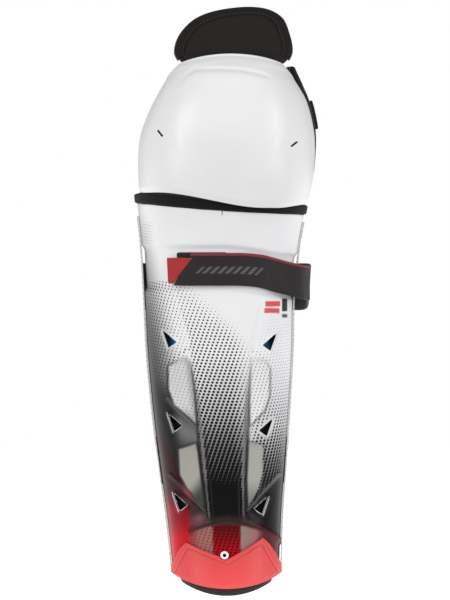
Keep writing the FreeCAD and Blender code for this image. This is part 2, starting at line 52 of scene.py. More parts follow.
# ---------------------------------------------------------------- the guard's form, as in the CAD
SHIN = [
    (-20, 43.6, 0.8, -24.6, 38.0),
    (20, 45.5, 0.2, -24.8, 39.5),
    (60, 48.0, -1.4, -25.0, 41.8),
    (105, 52.6, -3.0, -25.7, 45.0),
    (150, 57.0, -4.4, -27.0, 48.0),
    (205, 61.0, -5.4, -29.0, 51.0),
    (250, 62.6, -6.0, -31.0, 54.0),
    (290, 66.0, -5.0, -35.5, 58.5),
    (332, 72.0, -3.4, -43.5, 66.0),
]
KNEE = [
    (318, 68.5, -3.0, -50.5, 60.0),
    (332, 71.5, -1.6, -55.5, 66.0),
    (348, 74.0, -0.2, -60.0, 72.0),
    (365, 75.0, 0.4, -63.0, 76.5),
    (383, 74.0, 1.2, -64.5, 77.0),
    (400, 69.8, 2.6, -63.8, 73.5),
    (415, 63.8, 3.8, -61.0, 66.5),
    (428, 56.4, 3.7, -55.8, 57.5),
    (436, 50.8, 3.6, -50.2, 49.5),
    (442, 46.2, 4.0, -44.0, 42.0),
    (447, 43.4, 4.2, -37.0, 34.5),
    (452, 41.2, 4.4, -30.5, 28.0),
]
WING = [
    (26, 30.0, 2.0),
    (60, 46.0, 5.0),
    (110, 60.0, 8.0),
    (160, 71.0, 11.0),
    (215, 78.0, 13.0),
    (262, 76.0, 12.0),
    (300, 56.0, 7.0),
]
KNEE_WING = [
    (350, 1.5, 27.0, 0.6),
    (368, 1.0, 38.0, 0.8),
    (388, 1.0, 44.0, 1.8),
    (406, 1.0, 43.0, 2.4),
    (424, 2.5, 36.0, 4.0),
    (436, 8.0, 27.0, 7.0),
    (443, 13.5, 19.0, 9.5),
]
SHIN_SQUARE, KNEE_SQUARE = 0.02, 0.035
SHELL_WALL, CAP_WALL, GAP = 2.8, 3.2, 0.3
SHELL_EDGE, BINDING_EDGE = 88.0, 95.5
CHANNEL_LOW, CHANNEL_HIGH, CHANNEL_DEPTH, CHANNEL_FADE, CHANNEL_DROP = 257.0, 288.0, 2.0, 5.0, 7.0
BACKING_FRONT, BACKING_SIDE = 8.0, 4.5
PATCH_WALL = 1.4
LINER_BASE, LINER_PAD_FRONT, LINER_PAD_SIDE = 2.6, 10.5, 6.0
LINER_BOTTOM, LINER_TOP, LINER_EDGE = 6.0, 300.0, 76.0
WING_GAP, PLATE_WALL = 3.0, 1.8
KNEE_FOAM, KNEE_LINING = 7.0, 3.0
FLAP_LOW, FLAP_TOP, FLAP_HALF, FLAP_CENTRE = 432.0, 490.5, 49.0, 6.2
FLAP_FRONT, FLAP_BEND, FLAP_LEAN = -29.2, 20.0, 0.08
VENTS = [(-47.7, 212.2), (-42.9, 142.0), (-38.4, 75.2), (37.0, 209.6), (33.9, 137.9), (29.8, 72.3)]
VENT_SHAPE = [(5.8, 8.7), (-6.3, -1.8), (0.4, -6.8)]
EYELET = (-1.2, 31.5)
LASHINGS = [(-55.0, 385.0, -38.0), (57.0, 376.0, 52.0)]
UPPER_LEVEL, UPPER_FLARE = 257.0, 0.0009
LOWER_LEVEL, LOWER_FLARE = 110.0, 0.0022
UPPER_BACK = [
    (67.8, 11.5), (68.3, 22.0), (68.6, 38.0), (66.5, 58.0), (57.0, 79.0), (38.0, 94.0), (3.0, 101.0),
    (-34.0, 95.0), (-55.5, 82.0), (-64.0, 68.0), (-67.3, 54.0), (-67.8, 42.0), (-67.4, 31.2),
]
UPPER_FOLD = [(67.6, 6.0), (67.75, 8.5), (67.8, 11.0)]
UPPER_ANCHOR = [(-67.2, 30.7), (-67.1, 27.0), (-66.9, 23.5)]
LOWER_PATH = [
    (48.6, 27.0), (48.6, 36.0), (47.6, 46.0), (44.5, 57.0), (36.0, 68.0), (18.0, 77.0), (-4.0, 80.0),
    (-26.0, 77.5), (-43.0, 69.0), (-50.8, 57.0), (-53.8, 45.0), (-54.9, 36.0), (-54.8, 30.5),
]
LOWER_FOLD = [(-54.8, 30.0), (-54.9, 28.0), (-54.8, 26.0)]
LOWER_ANCHOR = [(-54.6, 25.6), (-54.5, 23.0), (-54.3, 20.0)]
LOWER_LOW, LOWER_HIGH = 91.0, 129.0


# ---------------------------------------------------------------- arithmetic on arrays
def along(rows, at):
    """Columns of a table at heights, on a smooth curve through its rows."""
    table = np.array(rows, dtype=float)
    at = np.asarray(at, dtype=float)
    last = len(table) - 2
    i = np.clip(np.searchsorted(table[:, 0], at, side="left") - 1, 0, last)
    before, after = np.maximum(i - 1, 0), np.minimum(i + 2, last + 1)
    span = table[i + 1, 0] - table[i, 0]
    t = (at - table[i, 0]) / span
    out = []
    for k in range(1, table.shape[1]):
        a, b = table[i, k], table[i + 1, k]
        rise_a = (b - table[before, k]) / (table[i + 1, 0] - table[before, 0]) * span
        rise_b = (table[after, k] - a) / (table[after, 0] - table[i, 0]) * span
        out.append(
            a * (1 + 2 * t) * (1 - t) ** 2 + rise_a * t * (1 - t) ** 2
            + b * t * t * (3 - 2 * t) + rise_b * t * t * (t - 1)
        )
    return out


def ease(low, high, at):
    t = np.clip((np.asarray(at, dtype=float) - low) / (high - low), 0.0, 1.0)
    return t * t * (3 - 2 * t)


def mix(a, b, t):
    return a + (b - a) * t


def bump(centre, half, at):
    """1 at a centre, falling smoothly to 0 at a distance."""
    return 1 - ease(0, half, np.abs(np.asarray(at, dtype=float) - centre))


def stack(x, y, z):
    return np.stack(np.broadcast_arrays(x, y, z), axis=-1).astype(float)


def section(rows, square, angle, z, depth):
    half, centre, front, reach = along(rows, z)
    a = np.radians(angle)
    across = (np.sin(a) + square * np.sin(3 * a)) / (1 - square)
    forward = (np.cos(a) - square * np.cos(3 * a)) / (1 - square)
    return stack(centre + (half - depth) * across, front + reach - (reach - depth) * forward, z)


def shin(angle, z, depth):
    return section(SHIN, SHIN_SQUARE, angle, z, depth)


def knee(angle, z, depth):
    return section(KNEE, KNEE_SQUARE, angle, z, depth)


def sin(angle):
    return np.sin(np.radians(angle))


def cos(angle):
    return np.cos(np.radians(angle))


def shin_top(a):
    return 321.5 - 4.8 * sin(a) - 2.0 * cos(a) ** 2


def knee_bottom(a):
    return 337.0 - 13.0 * ease(-0.75, 0.45, sin(a)) + 3.0 * ease(0.6, 1.0, sin(a))


def knee_top(a):
    return 450.5 - 8.5 * sin(a) ** 2 - 4.0 * ease(68.0, 90.0, np.abs(a))


def shell_bottom(a):
    return 7.0 + 9.0 * sin(a) ** 2


def channel(a, z):
    level = z + CHANNEL_DROP * ease(0, 1, sin(a))
    rise = ease(CHANNEL_LOW - CHANNEL_FADE, CHANNEL_LOW, level)
    return CHANNEL_DEPTH * rise * (1 - ease(CHANNEL_HIGH, CHANNEL_HIGH + CHANNEL_FADE, level))


def backing_depth(a):
    return SHELL_WALL + GAP + mix(BACKING_SIDE, BACKING_FRONT, cos(a) ** 2)


def liner_back(a):
    return backing_depth(a) + 2 * GAP + PATCH_WALL


def line_distance(x, z, points):
    """Distance from an open line of straight runs."""
    best = np.full(np.shape(x), 1e9)
    for (x0, z0), (x1, z1) in zip(points, points[1:]):
        dx, dz = x1 - x0, z1 - z0
        t = np.clip(((x - x0) * dx + (z - z0) * dz) / (dx * dx + dz * dz), 0, 1)
        best = np.minimum(best, np.hypot(x - x0 - t * dx, z - z0 - t * dz))
    return best


def inside(x, z, points):
    """Signed distance from a closed outline, positive inside."""
    ring = [*points, points[0]]
    within = np.zeros(np.shape(x), dtype=bool)
    for (x0, z0), (x1, z1) in zip(ring, ring[1:]):
        if z0 != z1:
            crosses = ((z0 > z) != (z1 > z)) & (x < (x1 - x0) * (z - z0) / (z1 - z0) + x0)
            within ^= crosses
    return np.where(within, 1.0, -1.0) * line_distance(x, z, ring)


def path_x(points, z):
    """x of a line of points at heights; the points run downwards."""
    zs = [p[1] for p in reversed(points)]
    xs = [p[0] for p in reversed(points)]
    return np.interp(z, zs, xs)


# ---------------------------------------------------------------- meshes
def new_object(name, verts, faces, materials, uv=None, colours=None):
    """A mesh object in the row frame; verts in mm. colours are per-vertex attributes."""
    mesh = bpy.data.meshes.new(name)
    rows = faces if isinstance(faces, list) else faces.tolist()
    mesh.from_pydata((np.asarray(verts) * MM).tolist(), [], rows)
    if uv is not None:
        layer = mesh.uv_layers.new(name="mm")
        index = np.empty(len(mesh.loops), dtype=np.int32)
        mesh.loops.foreach_get("vertex_index", index)
        layer.data.foreach_set("uv", np.asarray(uv, dtype=np.float32)[index].ravel())
    for key, values in (colours or {}).items():
        attribute = mesh.attributes.new(key, "FLOAT_COLOR", "POINT")
        full = np.ones((len(verts), 4), dtype=np.float32)
        full[:, :3] = values
        attribute.data.foreach_set("color", full.ravel())
    for material in materials:
        mesh.materials.append(material)
    mesh.polygons.foreach_set("use_smooth", np.ones(len(mesh.polygons), dtype=bool))
    mesh.update()
    thing = bpy.data.objects.new(name, mesh)
    bpy.context.scene.collection.objects.link(thing)
    return thing


def lengths(points, axis):
    """Distance travelled along one axis of a grid of points, 0 at the middle."""
    step = np.linalg.norm(np.diff(points, axis=axis), axis=-1)
    start = np.zeros_like(np.take(step, [0], axis=axis))
    run = np.concatenate([start, np.cumsum(step, axis=axis)], axis=axis)
    middle = np.take(run, [run.shape[axis] // 2], axis=axis)
    return run - middle


def volume(verts, faces):
    a, b, c, d = (verts[faces[:, k]] for k in range(4))
    return (np.einsum("ij,ij->i", a, np.cross(b, c)) + np.einsum("ij,ij->i", a, np.cross(c, d))).sum()


def slab_data(outer, inner, rim=5, bulge=1.0):
    """A closed skin from two grids of points, with a rounded rim. Gives vertices, quads and UVs in mm and the
    number of vertices in the outer grid."""
    nu, nv = outer.shape[:2]
    grid = np.arange(nu * nv).reshape(nu, nv)
    ring = np.concatenate([grid[:, 0], grid[-1, 1:], grid[-2::-1, -1], grid[0, -2:0:-1]])
    inward = np.concatenate([
        np.clip(grid[:, 0] + 1, 0, None), grid[-1, 1:] - nv, grid[-2::-1, -1] - 1, grid[0, -2:0:-1] + nv
    ])
    inward[0] = grid[1, 1]
    inward[nu - 1] = grid[-2, 1]
    inward[nu + nv - 2] = grid[-2, -2]
    inward[2 * nu + nv - 3] = grid[1, -2]
    o, i = outer.reshape(-1, 3), inner.reshape(-1, 3)
    count = nu * nv
    quads = np.stack([grid[:-1, :-1], grid[1:, :-1], grid[1:, 1:], grid[:-1, 1:]], axis=-1).reshape(-1, 4)
    verts, faces = [o, i], [quads, quads[:, ::-1] + count]
    uo = np.stack([lengths(outer, 0), lengths(outer, 1)], axis=-1).reshape(-1, 2)
    uvs = [uo, uo]
    middle = (o[ring] + i[ring]) / 2
    half = (o[ring] - i[ring]) / 2
    away = middle - (o[inward] + i[inward]) / 2
    radius = np.linalg.norm(half, axis=1, keepdims=True)
    unit = half / np.maximum(radius, 1e-9)
    away = away - unit * np.einsum("ij,ij->i", away, unit)[:, None]
    away /= np.maximum(np.linalg.norm(away, axis=1, keepdims=True), 1e-9)
    last, base = ring, 2 * count
    n = len(ring)
    for k in range(1, rim):
        turn = math.pi * k / rim
        points = middle + half * math.cos(turn) + away * radius * math.sin(turn) * bulge
        verts.append(points)
        uvs.append(uo[ring] + np.array([0.0, 1.0]) * (k / rim))
        now = base + np.arange(n)
        faces.append(np.stack([last, now, np.roll(now, -1), np.roll(last, -1)], axis=-1))
        last, base = now, base + n
    end = ring + count
    faces.append(np.stack([last, end, np.roll(end, -1), np.roll(last, -1)], axis=-1))
    verts, faces, uvs = np.concatenate(verts), np.concatenate(faces), np.concatenate(uvs)
    if volume(verts, faces) < 0:
        faces = faces[:, ::-1]
    return verts, faces, uvs, count


def grid_of(place, us, vs):
    """A grid of points from a function of two arrays."""
    u, v = np.meshgrid(np.asarray(us, float), np.asarray(vs, float), indexing="ij")
    return place(u, v)


def slab(name, material, outer, inner, us, vs, rim=5, bulge=1.0):
    verts, faces, uvs, _ = slab_data(grid_of(outer, us, vs), grid_of(inner, us, vs), rim, bulge)
    return new_object(name, verts, faces, [material], uvs)


def span(low, high, count):
    return np.linspace(low, high, count + 1)


def frames_along(points):
    """Unit tangents of a line of points."""
    step = np.gradient(points, axis=0)
    return step / np.maximum(np.linalg.norm(step, axis=1, keepdims=True), 1e-9)


def tube_data(points, normals, width, height, sides=10, closed=False):
    """A tube of elliptic section along points; normals point out of the surface it lies on."""
    points, normals = np.asarray(points, float), np.asarray(normals, float)
    tangent = frames_along(points)
    if closed:
        tangent = np.roll(points, -1, axis=0) - np.roll(points, 1, axis=0)
        tangent /= np.linalg.norm(tangent, axis=1, keepdims=True)
    side = np.cross(tangent, normals)
    side /= np.maximum(np.linalg.norm(side, axis=1, keepdims=True), 1e-9)
    up = np.cross(side, tangent)
    n = len(points)
    verts, uv = [], []
    run = np.concatenate([[0], np.cumsum(np.linalg.norm(np.diff(points, axis=0), axis=1))])
    for k in range(sides):
        turn = 2 * math.pi * k / sides
        verts.append(points + side * (math.cos(turn) * width / 2) + up * (math.sin(turn) * height / 2))
        uv.append(np.stack([np.full(n, k * width * 2.2 / sides), run], axis=-1))
    verts = np.stack(verts, axis=1).reshape(-1, 3)
    uv = np.stack(uv, axis=1).reshape(-1, 2)
    rows = np.arange(n * sides).reshape(n, sides)
    nxt = np.roll(rows, -1, axis=0) if closed else rows[1:]
    cur = rows if closed else rows[:-1]
    faces = np.stack([cur, np.roll(cur, -1, axis=1), np.roll(nxt, -1, axis=1), nxt], axis=-1).reshape(-1, 4)
    faces = faces.tolist()
    if not closed:
        faces.append(rows[0][::-1].tolist())
        faces.append(rows[-1].tolist())
    return verts, faces, uv


def tube(name, material, points, normals, width, height, sides=10, closed=False):
    verts, faces, uv = tube_data(points, normals, width, height, sides, closed)
    return new_object(name, verts, faces, [material], uv)


def resample(points, normals, pitch):
    """Points and normals at an even pitch along a line."""
    points, normals = np.asarray(points, float), np.asarray(normals, float)
    run = np.concatenate([[0], np.cumsum(np.linalg.norm(np.diff(points, axis=0), axis=1))])
    count = max(2, int(run[-1] / pitch))
    at = np.linspace(0, run[-1], count)
    p = np.stack([np.interp(at, run, points[:, k]) for k in range(3)], axis=-1)
    q = np.stack([np.interp(at, run, normals[:, k]) for k in range(3)], axis=-1)
    return p, q / np.linalg.norm(q, axis=1, keepdims=True)


def stitching(name, material, lines, stitch, pitch, width, height, sink):
    """Rows of sewn stitches: each a short rounded bead of thread lying on the surface."""
    shape = [(-0.5, 0.25), (-0.36, 0.85), (0.0, 1.0), (0.36, 0.85), (0.5, 0.25)]
    sides = 6
    verts, faces, uv = [], [], []
    base = 0
    for points, normals in lines:
        p, q = resample(points, normals, pitch)
        t = frames_along(p)
        s = np.cross(t, q)
        s /= np.maximum(np.linalg.norm(s, axis=1, keepdims=True), 1e-9)
        for c, n, along_it, side in zip(p, q, t, s):
            for x, r in shape:
                for k in range(sides):
                    a = 2 * math.pi * k / sides
                    verts.append(c + along_it * x * stitch + side * math.cos(a) * r * width / 2
                                 + n * (math.sin(a) * r * height / 2 - sink))
                    uv.append((k, x * stitch))
            rows = [[base + j * sides + k for k in range(sides)] for j in range(len(shape))]
            for j in range(len(shape) - 1):
                for k in range(sides):
                    m = (k + 1) % sides
                    faces.append([rows[j][k], rows[j][m], rows[j + 1][m], rows[j + 1][k]])
            faces.append(rows[0][::-1])
            faces.append(rows[-1])
            base += len(shape) * sides
    return new_object(name, np.array(verts), faces, [material], np.array(uv))


def surface_line(place, us, vs, lift=0.0):
    """Points and outward normals of a surface function along paired parameters."""
    us, vs = np.asarray(us, float), np.asarray(vs, float)
    e = 1e-3
    p = place(us, vs)
    du, dv = place(us + e, vs) - p, place(us, vs + e) - p
    n = np.cross(du, dv)
    n /= np.maximum(np.linalg.norm(n, axis=-1, keepdims=True), 1e-12)
    return p + n * lift, n


# ---------------------------------------------------------------- materials
def srgb(r, g, b):
    """Linear colour of a screen colour given from 0 to 1."""
    return tuple(c / 12.92 if c <= 0.04045 else ((c + 0.055) / 1.055) ** 2.4 for c in (r, g, b))


def srgb_rows(values):
    c = np.asarray(values, dtype=float)
    return np.where(c <= 0.04045, c / 12.92, ((c + 0.055) / 1.055) ** 2.4)


class Graph:
    """Builds one material from nodes."""

    def __init__(self, name, rough, **fixed):
        self.material = bpy.data.materials.new(name)
        self.material.use_nodes = True
        self.tree = self.material.node_tree
        self.shader = self.tree.nodes["Principled BSDF"]
        self.shader.inputs["Roughness"].default_value = rough
        for key, value in fixed.items():
            self.shader.inputs[key.replace("_", " ")].default_value = value

    def new(self, kind, **properties):
        node = self.tree.nodes.new(kind)
        for key, value in properties.items():
            setattr(node, key, value)
        return node

    def put(self, socket, value):
        if isinstance(value, bpy.types.NodeSocket):
            self.tree.links.new(value, socket)
        elif isinstance(value, tuple) and len(value) == 3 and socket.type == "RGBA":
            socket.default_value = (*value, 1.0)
        else:
            socket.default_value = value

    def math(self, operation, *values, clamp=False):
        node = self.new("ShaderNodeMath", operation=operation, use_clamp=clamp)
        for socket, value in zip(node.inputs, values):
            self.put(socket, value)
        return node.outputs[0]

    def range(self, value, low, high, out_low=0.0, out_high=1.0):
        node = self.new("ShaderNodeMapRange", interpolation_type="SMOOTHSTEP")
        for socket, item in zip(node.inputs, (value, low, high, out_low, out_high)):
            self.put(socket, item)
        return node.outputs[0]

    def blend(self, factor, a, b, kind="MIX"):
        node = self.new("ShaderNodeMix", data_type="RGBA", blend_type=kind)
        self.put(node.inputs[0], factor)
        self.put(node.inputs[6], a)
        self.put(node.inputs[7], b)
        return node.outputs[2]

    def split(self, vector):
        node = self.new("ShaderNodeSeparateXYZ")
        self.put(node.inputs[0], vector)
        return node.outputs

    def uv(self):
        node = self.new("ShaderNodeSeparateXYZ")
        self.put(node.inputs[0], self.new("ShaderNodeUVMap", uv_map="mm").outputs[0])
        return node.outputs[0], node.outputs[1]

    def place(self, scale=1000.0):
        """Object coordinates in millimetres."""
        node = self.new("ShaderNodeVectorMath", operation="SCALE")
        self.put(node.inputs[0], self.new("ShaderNodeTexCoord").outputs["Object"])
        self.put(node.inputs["Scale"], scale)
        return node.outputs[0]

    def noise(self, scale, detail=2.0, where=None, rough=0.5):
        node = self.new("ShaderNodeTexNoise")
        self.put(node.inputs["Vector"], where if where is not None else self.place())
        self.put(node.inputs["Scale"], scale)
        self.put(node.inputs["Detail"], detail)
        self.put(node.inputs["Roughness"], rough)
        return node.outputs["Fac"]

    def cells(self, scale, random=1.0):
        node = self.new("ShaderNodeTexVoronoi")
        self.put(node.inputs["Vector"], self.place())
        self.put(node.inputs["Scale"], scale)
        self.put(node.inputs["Randomness"], random)
        return node.outputs["Distance"]

    def combine(self, x, y, z=0.0):
        node = self.new("ShaderNodeCombineXYZ")
        for socket, value in zip(node.inputs, (x, y, z)):
            self.put(socket, value)
        return node.outputs[0]

    def colour(self, value):
        self.put(self.shader.inputs["Base Color"], value)

    def roughness(self, value):
        self.put(self.shader.inputs["Roughness"], value)

    def relief(self, height, distance):
        """Bump of a height from 0 to 1 that is distance millimetres deep."""
        node = self.new("ShaderNodeBump")
        self.put(node.inputs["Height"], height)
        self.put(node.inputs["Distance"], distance * MM)
        self.put(node.inputs["Strength"], 1.0)
        self.put(self.shader.inputs["Normal"], node.outputs[0])

    def wave(self, value, pitch):
        """|sin| of a length, with one hump per pitch."""
        turned = self.math("MULTIPLY_ADD", value, math.pi / pitch, 0.0)
        return self.math("ABSOLUTE", self.math("SINE", turned))

    def weave(self, pitch_u, pitch_v):
        """Height of a plain weave on the piece's own UVs."""
        u, v = self.uv()
        su = self.math("SINE", self.math("MULTIPLY", u, math.pi / pitch_u))
        sv = self.math("SINE", self.math("MULTIPLY", v, math.pi / pitch_v))
        over = self.math("GREATER_THAN", self.math("MULTIPLY", su, sv), 0.0)
        a, b = self.math("ABSOLUTE", su), self.math("ABSOLUTE", sv)
        return self.math("ADD", self.math("MULTIPLY", a, over),
                         self.math("MULTIPLY", b, self.math("SUBTRACT", 1.0, over)))


def woven(name, dark, light, pitch=0.9, rough=0.75, sheen=0.25, depth=0.12):
    """Woven cloth on a piece with UVs: thread relief, lighter thread crowns and slow colour drift."""
    g = Graph(name, rough, Sheen_Weight=sheen, Sheen_Roughness=0.45, Specular_IOR_Level=0.3)
    thread = g.weave(pitch, pitch)
    drift = g.range(g.noise(0.03, 3.0), 0.3, 0.7)
    fuzz = g.noise(1.6, 3.0)
    tone = g.math("MULTIPLY_ADD", thread, 0.55, g.math("MULTIPLY", fuzz, 0.3))
    tone = g.math("MULTIPLY_ADD", drift, 0.175, tone, clamp=True)
    g.colour(g.blend(tone, srgb(*dark), srgb(*light)))
    g.roughness(g.range(fuzz, 0.2, 0.8, rough - 0.08, min(1.0, rough + 0.12)))
    height = g.math("MULTIPLY_ADD", fuzz, 0.35, thread)
    g.relief(height, depth)
    return g.material


def knit(name, dark, light, pitch=1.3, sheen=0.15, depth=0.14):
    """Brushed knit over foam, for pieces without UVs: small loops, nap and soft colour drift."""
    rough = 0.85
    g = Graph(name, rough, Sheen_Weight=sheen, Sheen_Roughness=0.5, Specular_IOR_Level=0.25)
    loops = g.range(g.cells(1.0 / pitch, random=0.55), 0.05, 0.75)
    nap = g.noise(2.2, 4.0)
    drift = g.noise(0.025, 3.0)
    tone = g.math("MULTIPLY_ADD", g.math("SUBTRACT", 1.0, loops), 0.45, g.math("MULTIPLY", nap, 0.35))
    tone = g.math("MULTIPLY_ADD", drift, 0.35, tone, clamp=True)
    g.colour(g.blend(tone, srgb(*dark), srgb(*light)))
    g.roughness(g.range(nap, 0.2, 0.8, rough - 0.07, min(1.0, rough + 0.1)))
    g.relief(g.math("MULTIPLY_ADD", nap, 0.5, g.math("SUBTRACT", 1.0, loops)), depth)
    return g.material


def ribbed(name, dark, light, rib=1.6, rough=0.7, depth=0.25, sheen=0.25):
    """Ribbed elastic or webbing: ribs along its length, fine threads across."""
    thread_pitch = 0.7
    g = Graph(name, rough, Sheen_Weight=sheen, Sheen_Roughness=0.4, Specular_IOR_Level=0.25)
    u, v = g.uv()
    ribs, threads = g.wave(v, rib), g.wave(u, thread_pitch)
    fuzz = g.noise(1.8, 3.0)
    tone = g.math("MULTIPLY_ADD", ribs, 0.5, g.math("MULTIPLY", threads, 0.2))
    tone = g.math("MULTIPLY_ADD", fuzz, 0.3, tone, clamp=True)
    g.colour(g.blend(tone, srgb(*dark), srgb(*light)))
    g.roughness(g.range(fuzz, 0.2, 0.8, rough - 0.08, rough + 0.1))
    g.relief(g.math("MULTIPLY_ADD", threads, 0.3, ribs), depth)
    return g.material


def moulded(name, base, rough, grain=0.6, depth=0.03, coat=0.0, drift=0.05, worn=None):
    """Moulded plastic: faint grain, slow colour drift and fine handling scratches."""
    g = Graph(name, rough, Coat_Weight=coat, Coat_Roughness=0.2)
    slow = g.noise(0.02, 2.0)
    tint = tuple(max(0.0, c - drift) for c in base)
    colour = g.blend(g.range(slow, 0.3, 0.7), srgb(*tint), srgb(*base))
    scratch_at = g.combine(g.math("MULTIPLY", g.split(g.place())[0], 0.9),
                           g.math("MULTIPLY", g.split(g.place())[2], 0.06))
    scratch = g.range(g.noise(1.0, 4.0, scratch_at, 0.6), 0.62, 0.72)
    if worn:
        colour = g.blend(g.math("MULTIPLY", scratch, 0.25), colour, srgb(*worn))
    g.colour(colour)
    fine = g.noise(grain, 5.0)
    g.roughness(g.math("MULTIPLY_ADD", scratch, 0.08, g.range(fine, 0.2, 0.8, rough - 0.04, rough + 0.05)))
    g.relief(fine, depth)
    return g.material


def shell_print():
    """Glossy shell with its print: a ground colour, which also holds painted shade and highlights, and ink
    dots that grow with the tone.
    """
    g = Graph("shell_print", 0.3, IOR=1.28, Specular_IOR_Level=0.4)
    u, v = g.uv()
    across, up, lean = 3.7, 2.6, 0.95
    nearest = None
    row = g.math("FLOOR", g.math("MULTIPLY", v, 1 / up))
    for shift in (0.0, 1.0):
        this = g.math("ADD", row, shift)
        x = g.math("MULTIPLY_ADD", this, -lean / across, g.math("MULTIPLY_ADD", u, 1 / across, 100.5))
        dx = g.math("MULTIPLY", g.math("SUBTRACT", g.math("FRACT", x), 0.5), across)
        dy = g.math("MULTIPLY", g.math("MULTIPLY_ADD", this, -up, v), 1.12)
        d = g.math("SQRT", g.math("ADD", g.math("MULTIPLY", dx, dx), g.math("MULTIPLY", dy, dy)))
        nearest = d if nearest is None else g.math("MINIMUM", nearest, d)
    tone = g.split(g.new("ShaderNodeAttribute", attribute_name="tone").outputs["Color"])[0]
    radius = g.math("MULTIPLY", tone, 2.35)
    dot = g.range(g.math("SUBTRACT", radius, nearest), -0.16, 0.16)
    ground = g.new("ShaderNodeAttribute", attribute_name="ground").outputs["Color"]
    ink = g.new("ShaderNodeAttribute", attribute_name="ink").outputs["Color"]
    colour = g.blend(dot, ground, ink)
    slow = g.range(g.noise(0.02, 3.0), 0.3, 0.7, 0.965, 1.0)
    g.colour(g.blend(1.0, colour, g.combine(slow, slow, slow), "MULTIPLY"))
    fine = g.noise(0.8, 4.0)
    x, _, z = g.split(g.place())
    drawn_out = g.combine(g.math("MULTIPLY", x, 0.7), g.math("MULTIPLY", z, 0.05))
    scuff = g.range(g.noise(1.0, 4.0, drawn_out, 0.6), 0.62, 0.75)
    g.roughness(g.math("MULTIPLY_ADD", scuff, 0.1, g.range(fine, 0.2, 0.8, 0.27, 0.35)))
    g.relief(g.math("MULTIPLY_ADD", dot, -0.6, fine), 0.02)
    return g.material


def strap_face():
    """Black strap webbing with a plain row of slanted grey bars woven into it."""
    g = Graph("strap_face", 0.62, Sheen_Weight=0.2, Sheen_Roughness=0.4, Specular_IOR_Level=0.35)
    u, v = g.uv()
    thread = g.weave(0.8, 0.8)
    fuzz = g.noise(1.8, 3.0)
    tone = g.math("MULTIPLY_ADD", thread, 0.4, g.math("MULTIPLY", fuzz, 0.3), clamp=True)
    cloth = g.blend(tone, srgb(0.075, 0.06, 0.06), srgb(0.185, 0.155, 0.16))
    lean = g.math("MULTIPLY_ADD", v, -0.55, u)
    bar = g.math("FRACT", g.math("MULTIPLY_ADD", lean, 1 / 6.4, 100.0))
    bars = g.math("MULTIPLY", g.range(bar, 0.08, 0.16), g.range(bar, 0.72, 0.64))
    height = g.math("ABSOLUTE", g.math("ADD", v, -0.6))
    row = g.range(height, 3.6, 3.2)
    reach = g.range(g.math("ABSOLUTE", g.math("ADD", lean, 29.6)), 26.8, 26.0)
    mark = g.math("MULTIPLY", g.math("MULTIPLY", bars, row), reach)
    grey = g.blend(g.range(g.wave(v, 1.5), 0.25, 0.5), srgb(0.15, 0.14, 0.14), srgb(0.42, 0.40, 0.41))
    g.colour(g.blend(mark, cloth, grey))
    g.relief(g.math("MULTIPLY_ADD", mark, 0.4, thread), 0.12)
    return g.material


def pile(name, dark, light):
    """Hook-and-loop face: short curled pile."""
    g = Graph(name, 0.9, Sheen_Weight=0.3, Sheen_Roughness=0.5, Specular_IOR_Level=0.2)
    curls = g.cells(1.25, random=0.9)
    nap = g.noise(2.6, 5.0)
    lint = g.math("MULTIPLY_ADD", curls, 0.6, g.math("MULTIPLY", nap, 0.4), clamp=True)
    g.colour(g.blend(lint, srgb(*dark), srgb(*light)))
    g.relief(g.math("MULTIPLY_ADD", nap, 0.6, curls), 0.5)
    return g.material


def foam(name, dark, light):
    """Closed-cell foam with open pores; where the unshaded amount is low, the colour is painted very dark as
    shade.
    """
    g = Graph(name, 0.8, Specular_IOR_Level=0.3, Sheen_Weight=0.1)
    pores = g.range(g.cells(0.55), 0.08, 0.3)
    fine = g.noise(1.5, 4.0)
    tone = g.math("MULTIPLY_ADD", fine, 0.4, g.math("MULTIPLY", pores, 0.6), clamp=True)
    unshaded_foam = g.blend(tone, srgb(*dark), srgb(*light))
    # Painted shade: a very dark colour laid where the foam is not left unshaded.
    painted_shade_colour = g.blend(tone, srgb(0.02, 0.02, 0.03), srgb(0.08, 0.08, 0.10))
    unshaded_amount = g.split(g.new("ShaderNodeAttribute", attribute_name="unshaded_foam").outputs["Color"])[0]
    g.colour(g.blend(unshaded_amount, painted_shade_colour, unshaded_foam))
    g.relief(g.math("MULTIPLY_ADD", fine, 0.25, pores), 0.3)
    return g.material


def painted_metal(name, base):
    g = Graph(name, 0.3, Coat_Weight=0.4)
    fine = g.noise(1.2, 4.0)
    chips = g.range(g.noise(0.9, 5.0), 0.66, 0.7)
    g.colour(g.blend(chips, srgb(*base), srgb(0.55, 0.54, 0.52)))
    g.roughness(g.range(fine, 0.2, 0.8, 0.22, 0.4))
    g.relief(fine, 0.03)
    return g.material


def thread(name, dark, light):
    g = Graph(name, 0.6, Sheen_Weight=0.2, Sheen_Roughness=0.4)
    u, v = g.uv()
    twist = g.wave(g.math("MULTIPLY_ADD", u, 0.25, v), 0.45)
    g.colour(g.blend(g.math("MULTIPLY_ADD", g.noise(1.0), 0.4, g.math("MULTIPLY", twist, 0.6), clamp=True),
                     srgb(*dark), srgb(*light)))
    g.relief(twist, 0.08)
    return g.material


